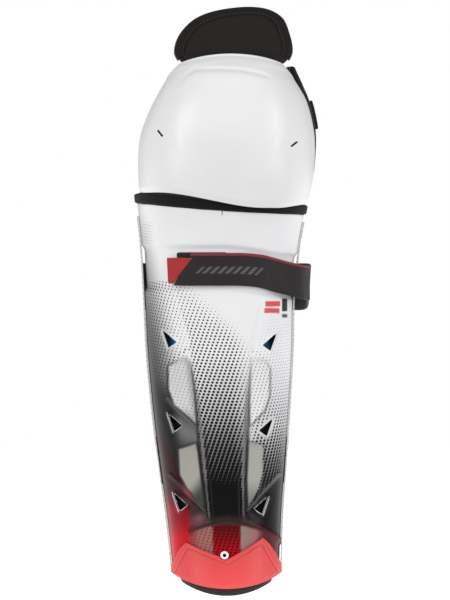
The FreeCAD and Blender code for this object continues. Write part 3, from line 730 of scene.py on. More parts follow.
SHELL_PRINT = shell_print()
CAP_WHITE = moulded("cap_white", (0.955, 0.955, 0.96), 0.38, depth=0.015, coat=0.2, drift=0.012)
WING_PLASTIC = moulded("wing_plastic", (0.13, 0.13, 0.135), 0.45, grain=1.4, depth=0.06, drift=0.02,
                       worn=(0.3, 0.3, 0.3))
OVERLAY_RED = moulded("overlay_red", (0.84, 0.255, 0.26), 0.45, grain=1.1, depth=0.03, drift=0.025)
WHITE_TAPE = woven("white_tape", (0.74, 0.74, 0.73), (0.95, 0.95, 0.94), pitch=0.8, rough=0.6, depth=0.1)
BLACK_CLOTH = woven("black_cloth", (0.07, 0.065, 0.065), (0.19, 0.175, 0.17), pitch=1.0, sheen=0.12)
BLACK_TAPE = ribbed("black_tape", (0.06, 0.05, 0.048), (0.135, 0.118, 0.112), rib=0.9, rough=0.85, depth=0.12,
                    sheen=0.03)
RED_TAPE = woven("red_tape", (0.36, 0.06, 0.09), (0.66, 0.20, 0.24), pitch=0.8, rough=0.6, depth=0.1)
BLACK_KNIT = knit("black_knit", (0.07, 0.066, 0.066), (0.19, 0.18, 0.18))
LINER_KNIT = knit("liner_knit", (0.17, 0.17, 0.18), (0.34, 0.34, 0.36), pitch=1.6)
STRAP_FACE = strap_face()
ELASTIC = ribbed("elastic", (0.07, 0.07, 0.075), (0.23, 0.23, 0.24))
PILE = pile("pile", (0.05, 0.05, 0.05), (0.17, 0.165, 0.165))
BLUE_FOAM = foam("blue_foam", (0.04, 0.20, 0.38), (0.12, 0.42, 0.64))
EYELET_PAINT = painted_metal("eyelet_paint", (0.95, 0.94, 0.92))
FLAP_CLOTH = knit("flap_cloth", (0.095, 0.08, 0.075), (0.15, 0.13, 0.125), pitch=0.7, sheen=0.05, depth=0.08)
# A darker copy of the knit used on the other padded pieces: painted shade on the knee bridge, which sits
# under the cap's lip.
BRIDGE_CLOTH = knit("bridge_cloth", (0.045, 0.04, 0.04), (0.12, 0.11, 0.11), sheen=0.04)
CORD_BLACK = woven("cord_black", (0.02, 0.02, 0.02), (0.07, 0.07, 0.07), pitch=0.6, sheen=0.0)
STRAP_PLAIN = woven("strap_plain", (0.10, 0.085, 0.085), (0.24, 0.215, 0.22), pitch=0.8, rough=0.62)
TIP_RED = woven("tip_red", (0.55, 0.10, 0.12), (0.78, 0.20, 0.215), pitch=0.8, rough=0.6, depth=0.08)
BLACK_THREAD = thread("black_thread", (0.06, 0.06, 0.06), (0.2, 0.2, 0.2))
RED_THREAD = thread("red_thread", (0.42, 0.05, 0.08), (0.62, 0.1, 0.13))
GREY_THREAD = thread("grey_thread", (0.35, 0.35, 0.35), (0.6, 0.6, 0.6))


# ---------------------------------------------------------------- finishing meshes
def sharpen(thing, degrees=35.0):
    """Sharp shading across edges that turn more than an angle."""
    work = bmesh.new()
    work.from_mesh(thing.data)
    limit = math.radians(degrees)
    for edge in work.edges:
        edge.smooth = edge.calc_face_angle(0.0) < limit
    work.to_mesh(thing.data)
    work.free()


def apply_modifiers(thing):
    graph = bpy.context.evaluated_depsgraph_get()
    shaped = thing.evaluated_get(graph)
    mesh = bpy.data.meshes.new_from_object(shaped, preserve_all_data_layers=True, depsgraph=graph)
    thing.modifiers.clear()
    old = thing.data
    thing.data = mesh
    bpy.data.meshes.remove(old)


def rounded(points, radius):
    """Corners of an outline of x, z points, rounded."""
    steps = 5
    out = []
    n = len(points)
    for k in range(n):
        p, a, b = (Vector(points[j % n]) for j in (k, k - 1, k + 1))
        ta, tb = (a - p).normalized(), (b - p).normalized()
        half = ta.angle(tb) / 2
        cut = min(radius / math.tan(half), 0.45 * (a - p).length, 0.45 * (b - p).length)
        for i in range(steps + 1):
            t = i / steps
            start, end = p + ta * cut, p + tb * cut
            out.append(tuple(start * (1 - t) ** 2 + p * 2 * t * (1 - t) + end * t * t))
    return out


def eyelet_circle(radius, count):
    """Points on a circle round the eyelet's axis."""
    turns = np.arange(count) * math.pi / (count / 2)
    return [(EYELET[0] + radius * math.cos(t), EYELET[1] + radius * math.sin(t)) for t in turns]


def prism_mesh(name, outlines, y0, y1):
    """Closed prisms along Y from outlines of x, z points; used to cut."""
    verts, faces = [], []
    for outline in outlines:
        base, n = len(verts), len(outline)
        verts += [(x, y0, z) for x, z in outline] + [(x, y1, z) for x, z in outline]
        faces.append([base + k for k in range(n)])
        faces.append([base + n + k for k in reversed(range(n))])
        for k in range(n):
            m = (k + 1) % n
            faces.append([base + m, base + k, base + n + k, base + n + m])
    mesh = bpy.data.meshes.new(name)
    mesh.from_pydata((np.array(verts) * MM).tolist(), [], faces)
    work = bmesh.new()
    work.from_mesh(mesh)
    bmesh.ops.recalc_face_normals(work, faces=work.faces)
    work.to_mesh(mesh)
    work.free()
    thing = bpy.data.objects.new(name, mesh)
    bpy.context.scene.collection.objects.link(thing)
    return thing


def carve(thing, cutter, edge_angle=40.0):
    modifier = thing.modifiers.new("cut", "BOOLEAN")
    modifier.operation, modifier.solver, modifier.object = "DIFFERENCE", "EXACT", cutter
    apply_modifiers(thing)
    bpy.data.objects.remove(cutter)
    sharpen(thing, edge_angle)


# ---------------------------------------------------------------- shin shell
PANEL_LEFT = [(-44.0, 258.0), (-38.5, 240.0), (-30.5, 216.0), (-28.0, 195.0), (-25.2, 176.0), (-23.6, 155.0),
              (-20.8, 122.0), (-18.2, 95.0), (-14.8, 61.0)]
PANEL_RIGHT = [(34.0, 255.0), (28.9, 239.0), (23.6, 222.0), (20.6, 200.0), (18.6, 176.0), (17.6, 150.0),
               (16.4, 122.0), (15.2, 95.0), (15.9, 61.0)]
WINDOWS = [
    [(-48.3, 190.0), (-34.0, 198.0), (-30.6, 193.0), (-27.0, 168.0),
     (-24.6, 141.0), (-30.0, 146.5), (-43.5, 157.5), (-48.5, 171.0)],
    [(22.3, 197.0), (33.0, 194.0), (36.6, 188.0), (36.2, 165.0),
     (32.0, 153.0), (20.6, 141.0), (19.9, 160.0), (21.0, 180.0)],
    [(-40.3, 120.5), (-25.4, 125.5), (-23.6, 118.0), (-20.8, 96.0),
     (-17.8, 72.0), (-22.0, 75.0), (-33.0, 87.5), (-39.2, 99.0)],
    [(18.9, 126.5), (31.4, 124.0), (31.4, 100.0), (28.0, 87.0), (18.6, 71.5), (17.4, 95.0)],
]
RIDGES = [
    [(-47.0, 98.5), (-18.0, 69.0)],
    [(44.5, 99.0), (18.4, 69.5)],
    [(-49.0, 163.0), (-42.0, 154.0), (-25.2, 139.0)],
]
ARCH = [
    (-31.0, 51.0), (-26.0, 54.5), (-14.0, 58.3), (0.7, 60.2),
    (14.5, 58.8), (28.0, 55.0), (41.5, 47.0), (47.0, 41.0),
]


def vent_outlines(grow=0.0):
    """The six vents' outlines in x, z; each is grown outwards from its middle."""
    radius = 0.9
    middle = np.mean(VENT_SHAPE, axis=0)
    outlines = []
    for x, z in VENTS:
        corners = []
        for corner in VENT_SHAPE:
            away = (np.array(corner) - middle) / np.linalg.norm(np.array(corner) - middle)
            dx, dz = np.array(corner) + away * grow
            corners.append((x + (dx if x > 0 else -dx), z + dz))
        outlines.append(rounded(corners, radius))
    return outlines


def shell_relief(x, z):
    """How far the shell's surface lies in from its smooth form, from its moulded lines."""
    left, right = path_x(PANEL_LEFT, z), path_x(PANEL_RIGHT, z)
    within = np.minimum(x - left, right - x)
    lower = 1 - ease(226.0, 252.0, z)
    upright = lower * ease(56.0, 64.0, z)
    depth = -1.1 * ease(-0.4, 3.2, within) * upright
    edge = bump(-1.2, 2.2, within)
    depth += 0.4 * edge * (1 - ease(214, 246, z)) * ease(58.0, 66.0, z)
    depth -= 0.5 * bump(0.9, 1.7, within) * (1 - ease(150, 178, z)) * ease(59.0, 63.0, z)
    depth += 0.35 * bump(4.0, 1.6, within) * (1 - ease(120, 150, z)) * ease(59.0, 66.0, z)
    for outline in WINDOWS:
        depth += 0.9 * ease(-0.8, 3.2, inside(x, z, outline))
    for line in RIDGES:
        depth -= 0.5 * bump(0, 2.6, line_distance(x, z, line))
    depth -= 0.75 * bump(0, 3.0, line_distance(x, z, ARCH))
    below = np.interp(x, [p[0] for p in ARCH], [p[1] for p in ARCH]) - z
    depth += 0.8 * ease(0.5, 4.5, below) * ease(-33, -27, x) * (1 - ease(44, 50, x))
    for outline in vent_outlines():
        off = -inside(x, z, outline)
        depth -= 0.4 * bump(0.2, 2.4, off)
        depth += 0.15 * bump(4.2, 2.6, off)
    return depth


def towards(colour, target, amount):
    return colour + (np.asarray(target) - colour) * np.clip(amount, 0, 1)[..., None]


class Print:
    """Ground colour, ink colour and dot size of the print at points of the shell; the ground colour also
    carries painted shade and highlights along the moulded lines.
    """

    def __init__(self, x, z):
        self.x, self.z = x, z
        self.left, self.right = path_x(PANEL_LEFT, z), path_x(PANEL_RIGHT, z)
        self.off_left, self.off_right = ease(0, 2.5, self.left - x), ease(0, 2.5, x - self.right)
        self.centre = (1 - self.off_left) * (1 - self.off_right)
        self.printed = 1 - ease(261.0, 262.5, z)
        self.arch = np.interp(x, [p[0] for p in ARCH], [p[1] for p in ARCH])
        self.ground = np.broadcast_to(np.array([0.965, 0.965, 0.97]), (*x.shape, 3)).copy()
        self.ink = np.zeros((*x.shape, 3)) + np.array([0.045, 0.045, 0.05])
        self.tone = np.zeros(x.shape)

    def tint(self, colour, amount):
        """Moves the ground towards a colour."""
        self.ground = towards(self.ground, colour, amount)

    def dye(self, colour, amount):
        """Moves the ink towards a colour."""
        self.ink = towards(self.ink, colour, amount)

    def clear(self, amount):
        """Shrinks the dots."""
        self.tone = self.tone * (1 - amount)

    def gather(self, tone):
        """Makes the dots at least as big as a tone."""
        self.tone = np.maximum(self.tone, tone)


def print_left_flank(p):
    """Left flank: dotted, and dark towards the edge and downwards."""
    x, z, printed, off_left = p.x, p.z, p.printed, p.off_left
    out = -38 - x
    grown_left = np.interp(out, [-14, -4, 4, 14, 24], [0.10, 0.19, 0.27, 0.33, 0.36])
    p.tone = p.tone + off_left * printed * grown_left
    dim = ease(0.0, 1.0, (out - 6 + (236 - z) * 0.25) / 34.0)
    p.tint((0.20, 0.20, 0.205), dim * off_left * 0.95)
    low = 1 - ease(150, 176, z + (x + 45) * 0.9)
    p.tint((0.12, 0.12, 0.125), low * off_left)
    grey = bump(135.0, 24.0, z + (x + 33) * 0.5) * ease(-47, -37, x)
    p.tint((0.44, 0.44, 0.44), grey * off_left)
    p.clear(0.55 * low * off_left)


def print_centre(p):
    """Centre panel: dots that grow downwards until they close."""
    x, z, printed, centre = p.x, p.z, p.printed, p.centre
    fade = ease(0, 26.0, (263 - z) - 0.98 * (x + 24.0)) * (1 - 0.5 * ease(4, 22, x) * ease(100, 130, z))
    grown = np.interp(z, [60, 84, 92, 108, 130, 160, 190, 220, 262],
                      [1.1, 1.1, 0.84, 0.72, 0.63, 0.52, 0.44, 0.38, 0.26])
    close = np.interp(z + x * 0.36, [87, 95], [1.1, 0.0])
    dots = centre * printed * fade * np.maximum(grown, close)
    p.tone = np.where(centre > 0.01, np.maximum(p.tone, dots), p.tone)
    pale = np.interp(z, [90, 120, 150, 200], [0.38, 0.51, 0.78, 0.965])
    p.tint(np.stack([pale, pale, pale + 0.005], -1), centre)
    p.tint((0.05, 0.05, 0.055), centre * (1 - ease(82, 93, z + x * 0.36)))
    p.dye((0.13, 0.13, 0.13), centre * ease(150, 230, z))


def print_right_flank(p):
    """Right flank: dots that grow towards the lower edge."""
    x, z, printed, off_right, right = p.x, p.z, p.printed, p.off_right, p.right
    grown_right = np.interp(z - (x - 36) * 0.5, [60, 100, 116, 132, 150, 165, 180, 215, 240],
                            [1.0, 0.68, 0.60, 0.50, 0.39, 0.27, 0.2, 0.15, 0.0])
    p.gather(off_right * grown_right * printed * ease(-2, 10, x - right))
    pale = np.interp(z - (x - 30) * 0.3, [76, 102, 135, 200], [0.18, 0.50, 0.84, 0.965])
    p.tint(np.stack([pale, pale, pale + 0.01], -1), off_right)
    p.tint((0.10, 0.10, 0.115), off_right * (1 - ease(78, 96, z - (x - 40) * 0.5)))


def print_windows_and_edge_shade(p):
    """Windows: pale and almost clear of dots, with painted shade along their recessed edges."""
    x, z = p.x, p.z
    shades = [(0.85, 0.845, 0.845), (0.93, 0.93, 0.93), (0.64, 0.63, 0.60), (0.66, 0.655, 0.63)]
    dots = [0.19, 0.24, 0.03, 0.07]
    for k, outline in enumerate(WINDOWS):
        depth = inside(x, z, outline)
        here = ease(-0.8, 1.4, depth)
        p.tint(shades[k], here)
        p.tone = p.tone * (1 - here) + here * dots[k]
        if k == 0:
            # Painted shade inside the first window, along its right-hand edge.
            shade = here * (1 - ease(0, 7, depth)) * ease(-40, -30, x) * 0.7
            p.tint((0.62, 0.61, 0.61), shade)
        if k == 2:
            p.tint((0.24, 0.24, 0.23), here * (1 - ease(78, 100, z - (x + 24) * 1.2)))
        if k == 3:
            p.tint((0.42, 0.41, 0.40), here * (1 - ease(76, 96, z)) * 0.7)
        # Painted shade: a dark rim along each window's recessed edge.
        rim = bump(-0.8, 1.8, depth) * (0.75 if k in (0, 2) else 0.4)
        p.tint((0.20, 0.20, 0.20), rim * (1 - ease(180, 205, z)))


def panel_edge_shade_and_highlight(p):
    """Painted shade in the panel's edge grooves and in the dip beside its ridge, and a painted highlight
    along the ridge.
    """
    x, z, left, right = p.x, p.z, p.left, p.right
    within = np.minimum(x - left, right - x)
    # Painted shade in the groove along the panel's edge.
    groove = bump(-1.6, 2.6, within) * (1 - ease(150, 200, z)) * ease(58, 62, z)
    p.tint((0.13, 0.13, 0.13), groove * (0.9 - 0.4 * ease(115, 150, z)))
    # Painted highlight along the ridge inside the groove; the dots are cleared there.
    ridge = bump(1.3, 2.3, within) * (1 - ease(150, 185, z)) * ease(60, 65, z)
    p.tint((0.44, 0.43, 0.425), ridge * 0.8)
    p.clear(0.9 * ridge * (1 - ease(118, 150, z)) + 0.45 * ridge * ease(118, 150, z))
    # Painted shade in the dip beside the ridge.
    beside = bump(4.4, 2.0, within) * (1 - ease(110, 150, z)) * ease(60, 64, z)
    p.tint((0.08, 0.08, 0.08), beside * 0.6 * (1 - 0.6 * ease(6, 12, x)))


def painted_ridge_highlights(p):
    """Painted highlights along the moulded ridges."""
    x, z = p.x, p.z
    for k, line in enumerate(RIDGES):
        d = line_distance(x, z, line)
        on = bump(0.0, 1.9, d)
        p.tint((0.50, 0.42, 0.42) if k < 2 else (0.46, 0.46, 0.46), on * 0.5)
        p.clear(on)


def print_window_dots(p):
    """Dots gathered along the windows' upper edges."""
    x, z = p.x, p.z
    for line, amount in (([(-49.0, 193.0), (-32.0, 205.0)], 0.4), ([(22.0, 203.0), (38.0, 194.0)], 0.26)):
        p.gather(amount * bump(0.0, 4.5, line_distance(x, z, line)))


def print_reds_and_ridge_highlight(p):
    """Reds and browns at the lower left, and a painted pink highlight along the lower-left ridge."""
    x, z = p.x, p.z
    slope = (-55.2 - x) + (137.7 - z) * 0.442
    maroon = ease(-1.0, 3.0, slope) * (1 - ease(133, 140, z))
    deep, bright = np.array([0.19, 0.02, 0.065]), np.array([0.66, 0.02, 0.10])
    red = deep + (bright - deep) * (1 - ease(60, 92, z - (x + 46) * -0.4))[..., None]
    off_ridge = 1 - 0.85 * bump(0.0, 3.0, line_distance(x, z, RIDGES[0]))
    in_window = 1 - ease(-1.0, 1.0, inside(x, z, WINDOWS[2]))
    amount = maroon * off_ridge * in_window * (1 - ease(-34, -24, x))
    p.tint(red, amount)
    p.clear(amount)
    brown = bump(84.0, 17.0, z - (x + 36) * -1.05) * ease(-47, -40, x) * (1 - ease(-24, -20, x)) * in_window
    p.tint((0.20, 0.07, 0.08), brown * 0.8 * off_ridge)
    # Painted highlight: a pink line along the lower-left ridge.
    pink = bump(-32.0, 7.0, x) * bump(0.0, 3.4, line_distance(x, z, RIDGES[0]))
    p.tint((0.56, 0.20, 0.25), pink)
    low_red = ease(0, 1, (-24.0 - x + (66 - z) * 0.2) / 16.0)
    low_red = low_red * (1 - ease(57, 70, z))
    glow = np.interp(z, [44, 56, 68], [0.76, 0.60, 0.42])
    p.tint(np.stack([glow, 0.03 + 0 * z, 0.10 + 0 * z], -1), low_red)
    p.clear(low_red)


def print_under_arch(p):
    """Red and brown fields under the arch, and the dark line along it."""
    x, z, arch = p.x, p.z, p.arch
    under = ease(1.0, 3.5, arch - z) * ease(-35, -22, x)
    side = np.interp(x, [-28, -15, 12, 16, 27, 34, 44], [0.60, 0.60, 0.55, 0.55, 0.60, 0.30, 0.22])
    side_colour = np.stack([side, side * np.interp(x, [-28, -12, 12, 30], [0.56, 0.66, 0.93, 0.55]),
                            side * np.interp(x, [-28, -12, 12, 30], [0.54, 0.62, 0.88, 0.55])], -1)
    p.tint(side_colour, under)
    middle = under * ease(-12.6, -9.4, x) * (1 - ease(10.8, 14.0, x))
    fire = np.interp(z, [36, 46, 56], [0.66, 0.50, 0.34])
    p.tint(np.stack([fire, 0.02 + 0 * z, 0.05 + 0 * z], -1), middle)
    p.dye((0.24, 0.01, 0.03), under)
    beside = 0.26 * under * (1 - middle) * (1 - ease(11, 14, x))
    p.tone = p.tone * (1 - under) + 0.44 * middle + beside
    on_arch = bump(0.0, 3.6, line_distance(x, z, ARCH)) * ease(-34, -28, x)
    p.tint((0.27, 0.10, 0.10), on_arch * 0.8)
    p.clear(on_arch)
    murk = bump(63.0, 6.0, z - (arch - 60.3)) * ease(-20, -12, x) * (1 - ease(14, 24, x))
    p.tint((0.18, 0.15, 0.13), murk * 0.8)
    p.clear(murk)
    pale_low = bump(-22.0, 12.0, x) * bump(63.0, 8.0, z - (arch - 57.0) * 0.6)
    p.tint((0.52, 0.33, 0.32), pale_low * 0.8)
    low_right = ease(24, 38, x) * (1 - ease(44, 66, z))
    p.tint((0.34, 0.08, 0.10), low_right * 0.85)


def print_bars(p):
    """Plain label bars near the right edge."""
    x, z = p.x, p.z
    for block, colour in ((((33.0, 45.6), (240.3, 244.6)), (0.88, 0.36, 0.39)),
                          (((32.2, 45.0), (234.6, 238.9)), (0.88, 0.36, 0.39)),
                          (((47.2, 51.6), (236.4, 246.8)), (0.17, 0.17, 0.17)),
                          (((47.2, 51.6), (231.2, 233.9)), (0.30, 0.30, 0.30))):
        (x0, x1), (z0, z1) = block
        on = 1.0
        for depth in (x - x0, x1 - x, z - z0, z1 - z):
            on = on * ease(-0.3, 0.3, depth)
        p.tint(colour, on)


def vent_highlights_and_top_dots(p):
    """Lit edge round each vent, and faint dots at the top left."""
    x, z = p.x, p.z
    (tip_x, tip_z), _, (low_x, low_z) = VENT_SHAPE
    for (vent_x, vent_z), outline in zip(VENTS, vent_outlines()):
        side = 1 if vent_x > 0 else -1
        edge_tip = (vent_x + side * (tip_x + 1.0), vent_z + tip_z)
        edge_low = (vent_x + side * (low_x + 1.0), vent_z + low_z - 0.6)
        edge = [edge_tip, edge_low]
        # Painted highlight along each vent's outer edge.
        lit = bump(0.0, 1.15, line_distance(x, z, edge))
        p.tint((0.86, 0.86, 0.87), lit * 0.9)
        p.clear(bump(0.6, 2.2, -inside(x, z, outline)))
    top_left = ease(284, 292, z) * (1 - ease(308, 316, z)) * ease(0, 1, (-57 - x) / 8.0)
    p.gather(0.26 * top_left)
    p.dye((0.55, 0.55, 0.55), ease(275, 280, z))


def shell_colours(x, z):
    """Ground colour, ink colour and dot size of the print, by the order of its layers; some layers paint
    shade and highlights into the ground colour.
    """
    p = Print(x, z)
    layers = (
        print_left_flank, print_centre, print_right_flank,
        print_windows_and_edge_shade, panel_edge_shade_and_highlight, painted_ridge_highlights,
        print_window_dots, print_reds_and_ridge_highlight, print_under_arch,
        print_bars, vent_highlights_and_top_dots,
    )
    for layer in layers:
        layer(p)
    return srgb_rows(p.ground), srgb_rows(np.clip(p.ink, 0, 1)), np.clip(p.tone, 0, 1)


def make_shell():
    us, vs = span(-SHELL_EDGE, SHELL_EDGE, 232), span(0, 1, 340)

    def spot(a, v):
        z = mix(shell_bottom(a), shin_top(a), v)
        base = shin(a, z, 0.0)
        return z, base[..., 0]

    def outer(a, v):
        z, x = spot(a, v)
        return shin(a, z, channel(a, z) + shell_relief(x, z))

    def inner(a, v):
        z, _ = spot(a, v)
        return shin(a, z, channel(a, z) + SHELL_WALL)

    o, i = grid_of(outer, us, vs), grid_of(inner, us, vs)
    verts, faces, uvs, count = slab_data(o, i, rim=4)
    a, v = np.meshgrid(us, vs, indexing="ij")
    z, x = spot(a, v)
    ground, ink, tone = shell_colours(x, z)
    n = len(verts)
    plain = srgb_rows(np.array([0.9, 0.9, 0.9]))
    colours = {"ground": np.tile(plain, (n, 1)), "ink": np.tile(plain, (n, 1)), "tone": np.zeros((n, 3))}
    colours["ground"][:count] = ground.reshape(-1, 3)
    colours["ink"][:count] = ink.reshape(-1, 3)
    colours["tone"][:count] = tone.reshape(-1, 1)
    shell = new_object("shin_shell_moulding", verts, faces, [SHELL_PRINT], uvs, colours)
    notch = [(-4.5, 330.0), (-3.2, 315.3), (-1.9, 330.0)]
    hole = eyelet_circle(2.6, 24)
    carve(shell, prism_mesh("vent_cutter", [*vent_outlines(), notch, hole], -70.0, -2.0))
    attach(shell, "shin")
    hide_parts("shin_shell")
    return shell


# ---------------------------------------------------------------- placing and finishing a piece
def fit(thing, body, nodes, slot, fill=None):
    """Rides a finished piece on its body in place of its CAD nodes; fill, given for a padded piece, is not
    used.
    """
    if body:
        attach(thing, body)
    if nodes:
        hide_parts(*nodes)
    return thing


def tree_of(thing):
    mesh = thing.data
    return BVHTree.FromPolygons([v.co / MM for v in mesh.vertices], [p.vertices for p in mesh.polygons])


def cast(tree, starts, direction):
    """Where rays meet a mesh: points and normals in mm; rays that miss are left out."""
    points, normals = [], []
    for start in starts:
        spot, normal, _, _ = tree.ray_cast(Vector(start), Vector(direction))
        if spot is not None:
            points.append(tuple(spot))
            normals.append(tuple(normal))
    return np.array(points), np.array(normals)


def front_cast(tree, line):
    """A line of x, z points laid on the front of a mesh."""
    return cast(tree, [(x, -200.0, z) for x, z in line], (0, 1, 0))


def polyline(points, step=1.0):
    """A line of x, z points walked at an even step."""
    points = np.asarray(points, float)
    run = np.concatenate([[0], np.cumsum(np.linalg.norm(np.diff(points, axis=0), axis=1))])
    at = np.linspace(0, run[-1], max(2, int(run[-1] / step)))
    return np.stack([np.interp(at, run, points[:, 0]), np.interp(at, run, points[:, 1])], axis=-1)


def puffed(name, verts, faces, material, hold, voxel=4.0, pressure=4.0, cap=6.0, smooth=1):
    """A closed form blown up as sewn cloth. hold gives how firmly points in mm are held, from 0 to 1."""
    thing = new_object(name, verts, faces, [material])
    remesh = thing.modifiers.new("voxel", "REMESH")
    remesh.mode, remesh.voxel_size, remesh.use_smooth_shade = "VOXEL", voxel * MM, True
    apply_modifiers(thing)
    mesh = thing.data
    old = np.empty(len(mesh.vertices) * 3)
    mesh.vertices.foreach_get("co", old)
    old = old.reshape(-1, 3)
    group = thing.vertex_groups.new(name="hold")
    for index, weight in enumerate(np.clip(hold(old / MM), 0, 1)):
        group.add([index], float(weight), "REPLACE")
    cloth = thing.modifiers.new("cloth", "CLOTH")
    settings = cloth.settings
    settings.quality, settings.mass = 5, 0.3
    settings.vertex_group_mass = "hold"
    settings.tension_stiffness = settings.compression_stiffness = 12.0
    settings.shear_stiffness, settings.bending_stiffness = 6.0, 0.8
    settings.use_pressure, settings.uniform_pressure_force = True, pressure
    settings.effector_weights.gravity = 0.0
    cloth.point_cache.frame_start, cloth.point_cache.frame_end = 1, 20
    scene = bpy.context.scene
    for frame_number in range(1, 21):
        scene.frame_set(frame_number)
    graph = bpy.context.evaluated_depsgraph_get()
    blown = thing.evaluated_get(graph).data
    new = np.empty(len(blown.vertices) * 3)
    blown.vertices.foreach_get("co", new)
    new = new.reshape(-1, 3)
    thing.modifiers.clear()
    scene.frame_set(1)
    move = new - old
    far = np.linalg.norm(move, axis=1, keepdims=True)
    move *= np.minimum(1.0, cap * MM / np.maximum(far, 1e-9))
    mesh.vertices.foreach_set("co", (old + move).ravel())
    mesh.update()
    thing.vertex_groups.clear()
    if smooth:
        thing.modifiers.new("smooth", "SUBSURF").levels = smooth
        apply_modifiers(thing)
    thing.data.polygons.foreach_set("use_smooth", np.ones(len(thing.data.polygons), dtype=bool))
    return thing


def joined(name, things):
    """Several mesh objects as one."""
    bpy.ops.object.select_all(action="DESELECT")
    for thing in things:
        thing.select_set(True)
    bpy.context.view_layer.objects.active = things[0]
    bpy.ops.object.join()
    things[0].name = name
    return things[0]


def ripple(points, size, height):
    """Soft unevenness for cloth over foam, the same each run."""
    flat = points.reshape(-1, 3)
    out = [noise.noise(Vector((x / size, y / size, z / size))) for x, y, z in flat]
    return np.array(out).reshape(points.shape[:-1]) * height


def disc_data(outline, centre, front, back, rings=26, rim=8, bulge=1.0):
    """A closed form whose edge is a loop of x, z points, between a front and a back.

    Both are given by x, z and how near the edge a point is, from 0 to 1.
    """
    outline, centre = np.asarray(outline, float), np.asarray(centre, float)
    n = len(outline)
    step = np.roll(outline, -1, axis=0) - np.roll(outline, 1, axis=0)
    away = np.stack([step[:, 1], -step[:, 0]], axis=-1)
    away /= np.linalg.norm(away, axis=1, keepdims=True)
    if ((outline - centre) * away).sum() < 0:
        away = -away
    reach = np.linspace(0, 1, rings + 1)[1:] ** 0.9
    loops = []
    for r in reach:
        flat = centre + (outline - centre) * r
        depth = front(flat[:, 0], flat[:, 1], np.full(n, r))
        loops.append(np.stack([flat[:, 0], depth, flat[:, 1]], axis=-1))
    y0, y1 = loops[-1][:, 1], back(outline[:, 0], outline[:, 1], np.ones(n))
    for k in range(1, rim):
        turn = math.pi * k / rim
        out = outline + away * (np.abs(y1 - y0) / 2 * math.sin(turn) * bulge)[:, None]
        y = (y0 + y1) / 2 + (y0 - y1) / 2 * math.cos(turn)
        loops.append(np.stack([out[:, 0], y, out[:, 1]], axis=-1))
    for r in reach[::-1]:
        flat = centre + (outline - centre) * r
        depth = back(flat[:, 0], flat[:, 1], np.full(n, r))
        loops.append(np.stack([flat[:, 0], depth, flat[:, 1]], axis=-1))
    cx, cz = centre
    first = (cx, float(front(np.array([cx]), np.array([cz]), np.zeros(1))[0]), cz)
    last = (cx, float(back(np.array([cx]), np.array([cz]), np.zeros(1))[0]), cz)
    verts = np.concatenate([[first], *loops, [last]])
    faces = []
    for k in range(n):
        m = (k + 1) % n
        faces.append([0, 1 + k, 1 + m])
        for j in range(len(loops) - 1):
            p, q = 1 + j * n, 1 + (j + 1) * n
            faces.append([p + k, q + k, q + m, p + m])
        p = 1 + (len(loops) - 1) * n
        faces.append([p + m, p + k, len(verts) - 1])
    uv = verts[:, [0, 2]]
    first_halves = [[f[0], f[1], f[2]] for f in faces]
    second_halves = [[f[0], f[2], f[3]] for f in faces if len(f) == 4]
    triangles = np.array(first_halves + second_halves)
    a, b, c = (verts[triangles[:, k]] for k in range(3))
    if np.einsum("ij,ij->i", a, np.cross(b, c)).sum() < 0:
        faces = [f[::-1] for f in faces]
    return verts, faces, uv


def sheet_size(points):
    """Width and length in metres of a band's grid of points, along its middle lines."""
    nu, nv = points.shape[:2]
    across = np.linalg.norm(np.diff(points[nu // 2], axis=0), axis=-1).sum()
    down = np.linalg.norm(np.diff(points[:, nv // 2], axis=0), axis=-1).sum()
    return float(across) * MM, float(down) * MM


# ---------------------------------------------------------------- shin body: foam, bindings, hem, overlay
def make_backing():
    """Foam under the shell; it is sunk a little behind each vent. It keeps its own colour only across the
    middle above about 180 mm; elsewhere it is painted very dark as shade.
    """
    def outer(a, v):
        z = mix(14.5 + 9.0 * sin(a) ** 2, shin_top(a) - 0.5, v)
        x = shin(a, z, 3.0)[..., 0]
        sunk = np.zeros_like(z)
        for outline in vent_outlines(2.5):
            sunk = np.maximum(sunk, ease(-1.0, 1.5, inside(x, z, outline)))
        return shin(a, z, channel(a, z) + SHELL_WALL + 0.45 + 3.6 * sunk)

    def inner(a, v):
        z = mix(14.5 + 9.0 * sin(a) ** 2, shin_top(a) - 0.5, v)
        return shin(a, z, backing_depth(a))

    us, vs = span(-SHELL_EDGE, SHELL_EDGE, 120), span(0, 1, 200)
    verts, faces, uvs, _ = slab_data(grid_of(outer, us, vs), grid_of(inner, us, vs), rim=4)
    x, z = verts[:, 0], verts[:, 2]
    away = np.abs(x - section(SHIN, 0.0, np.zeros_like(z), z, 0.0)[..., 0])
    # Where the foam keeps its own colour; everywhere else the foam material paints it very dark as shade.
    unshaded_foam = (1 - ease(40.5, 42.0, away + (z - 212) * 0.12)) * ease(176, 190, z)
    deep = np.stack([unshaded_foam, unshaded_foam, unshaded_foam], axis=-1)
    thing = new_object("shin_backing_foam", verts, faces, [BLUE_FOAM], uvs, {"unshaded_foam": deep})
    hole = eyelet_circle(2.7, 24)
    carve(thing, prism_mesh("eyelet_cutter", [hole], -70.0, 10.0), 50.0)
    fit(thing, "shin", ["shin_backing"], "blue_foam", fill=1.0)


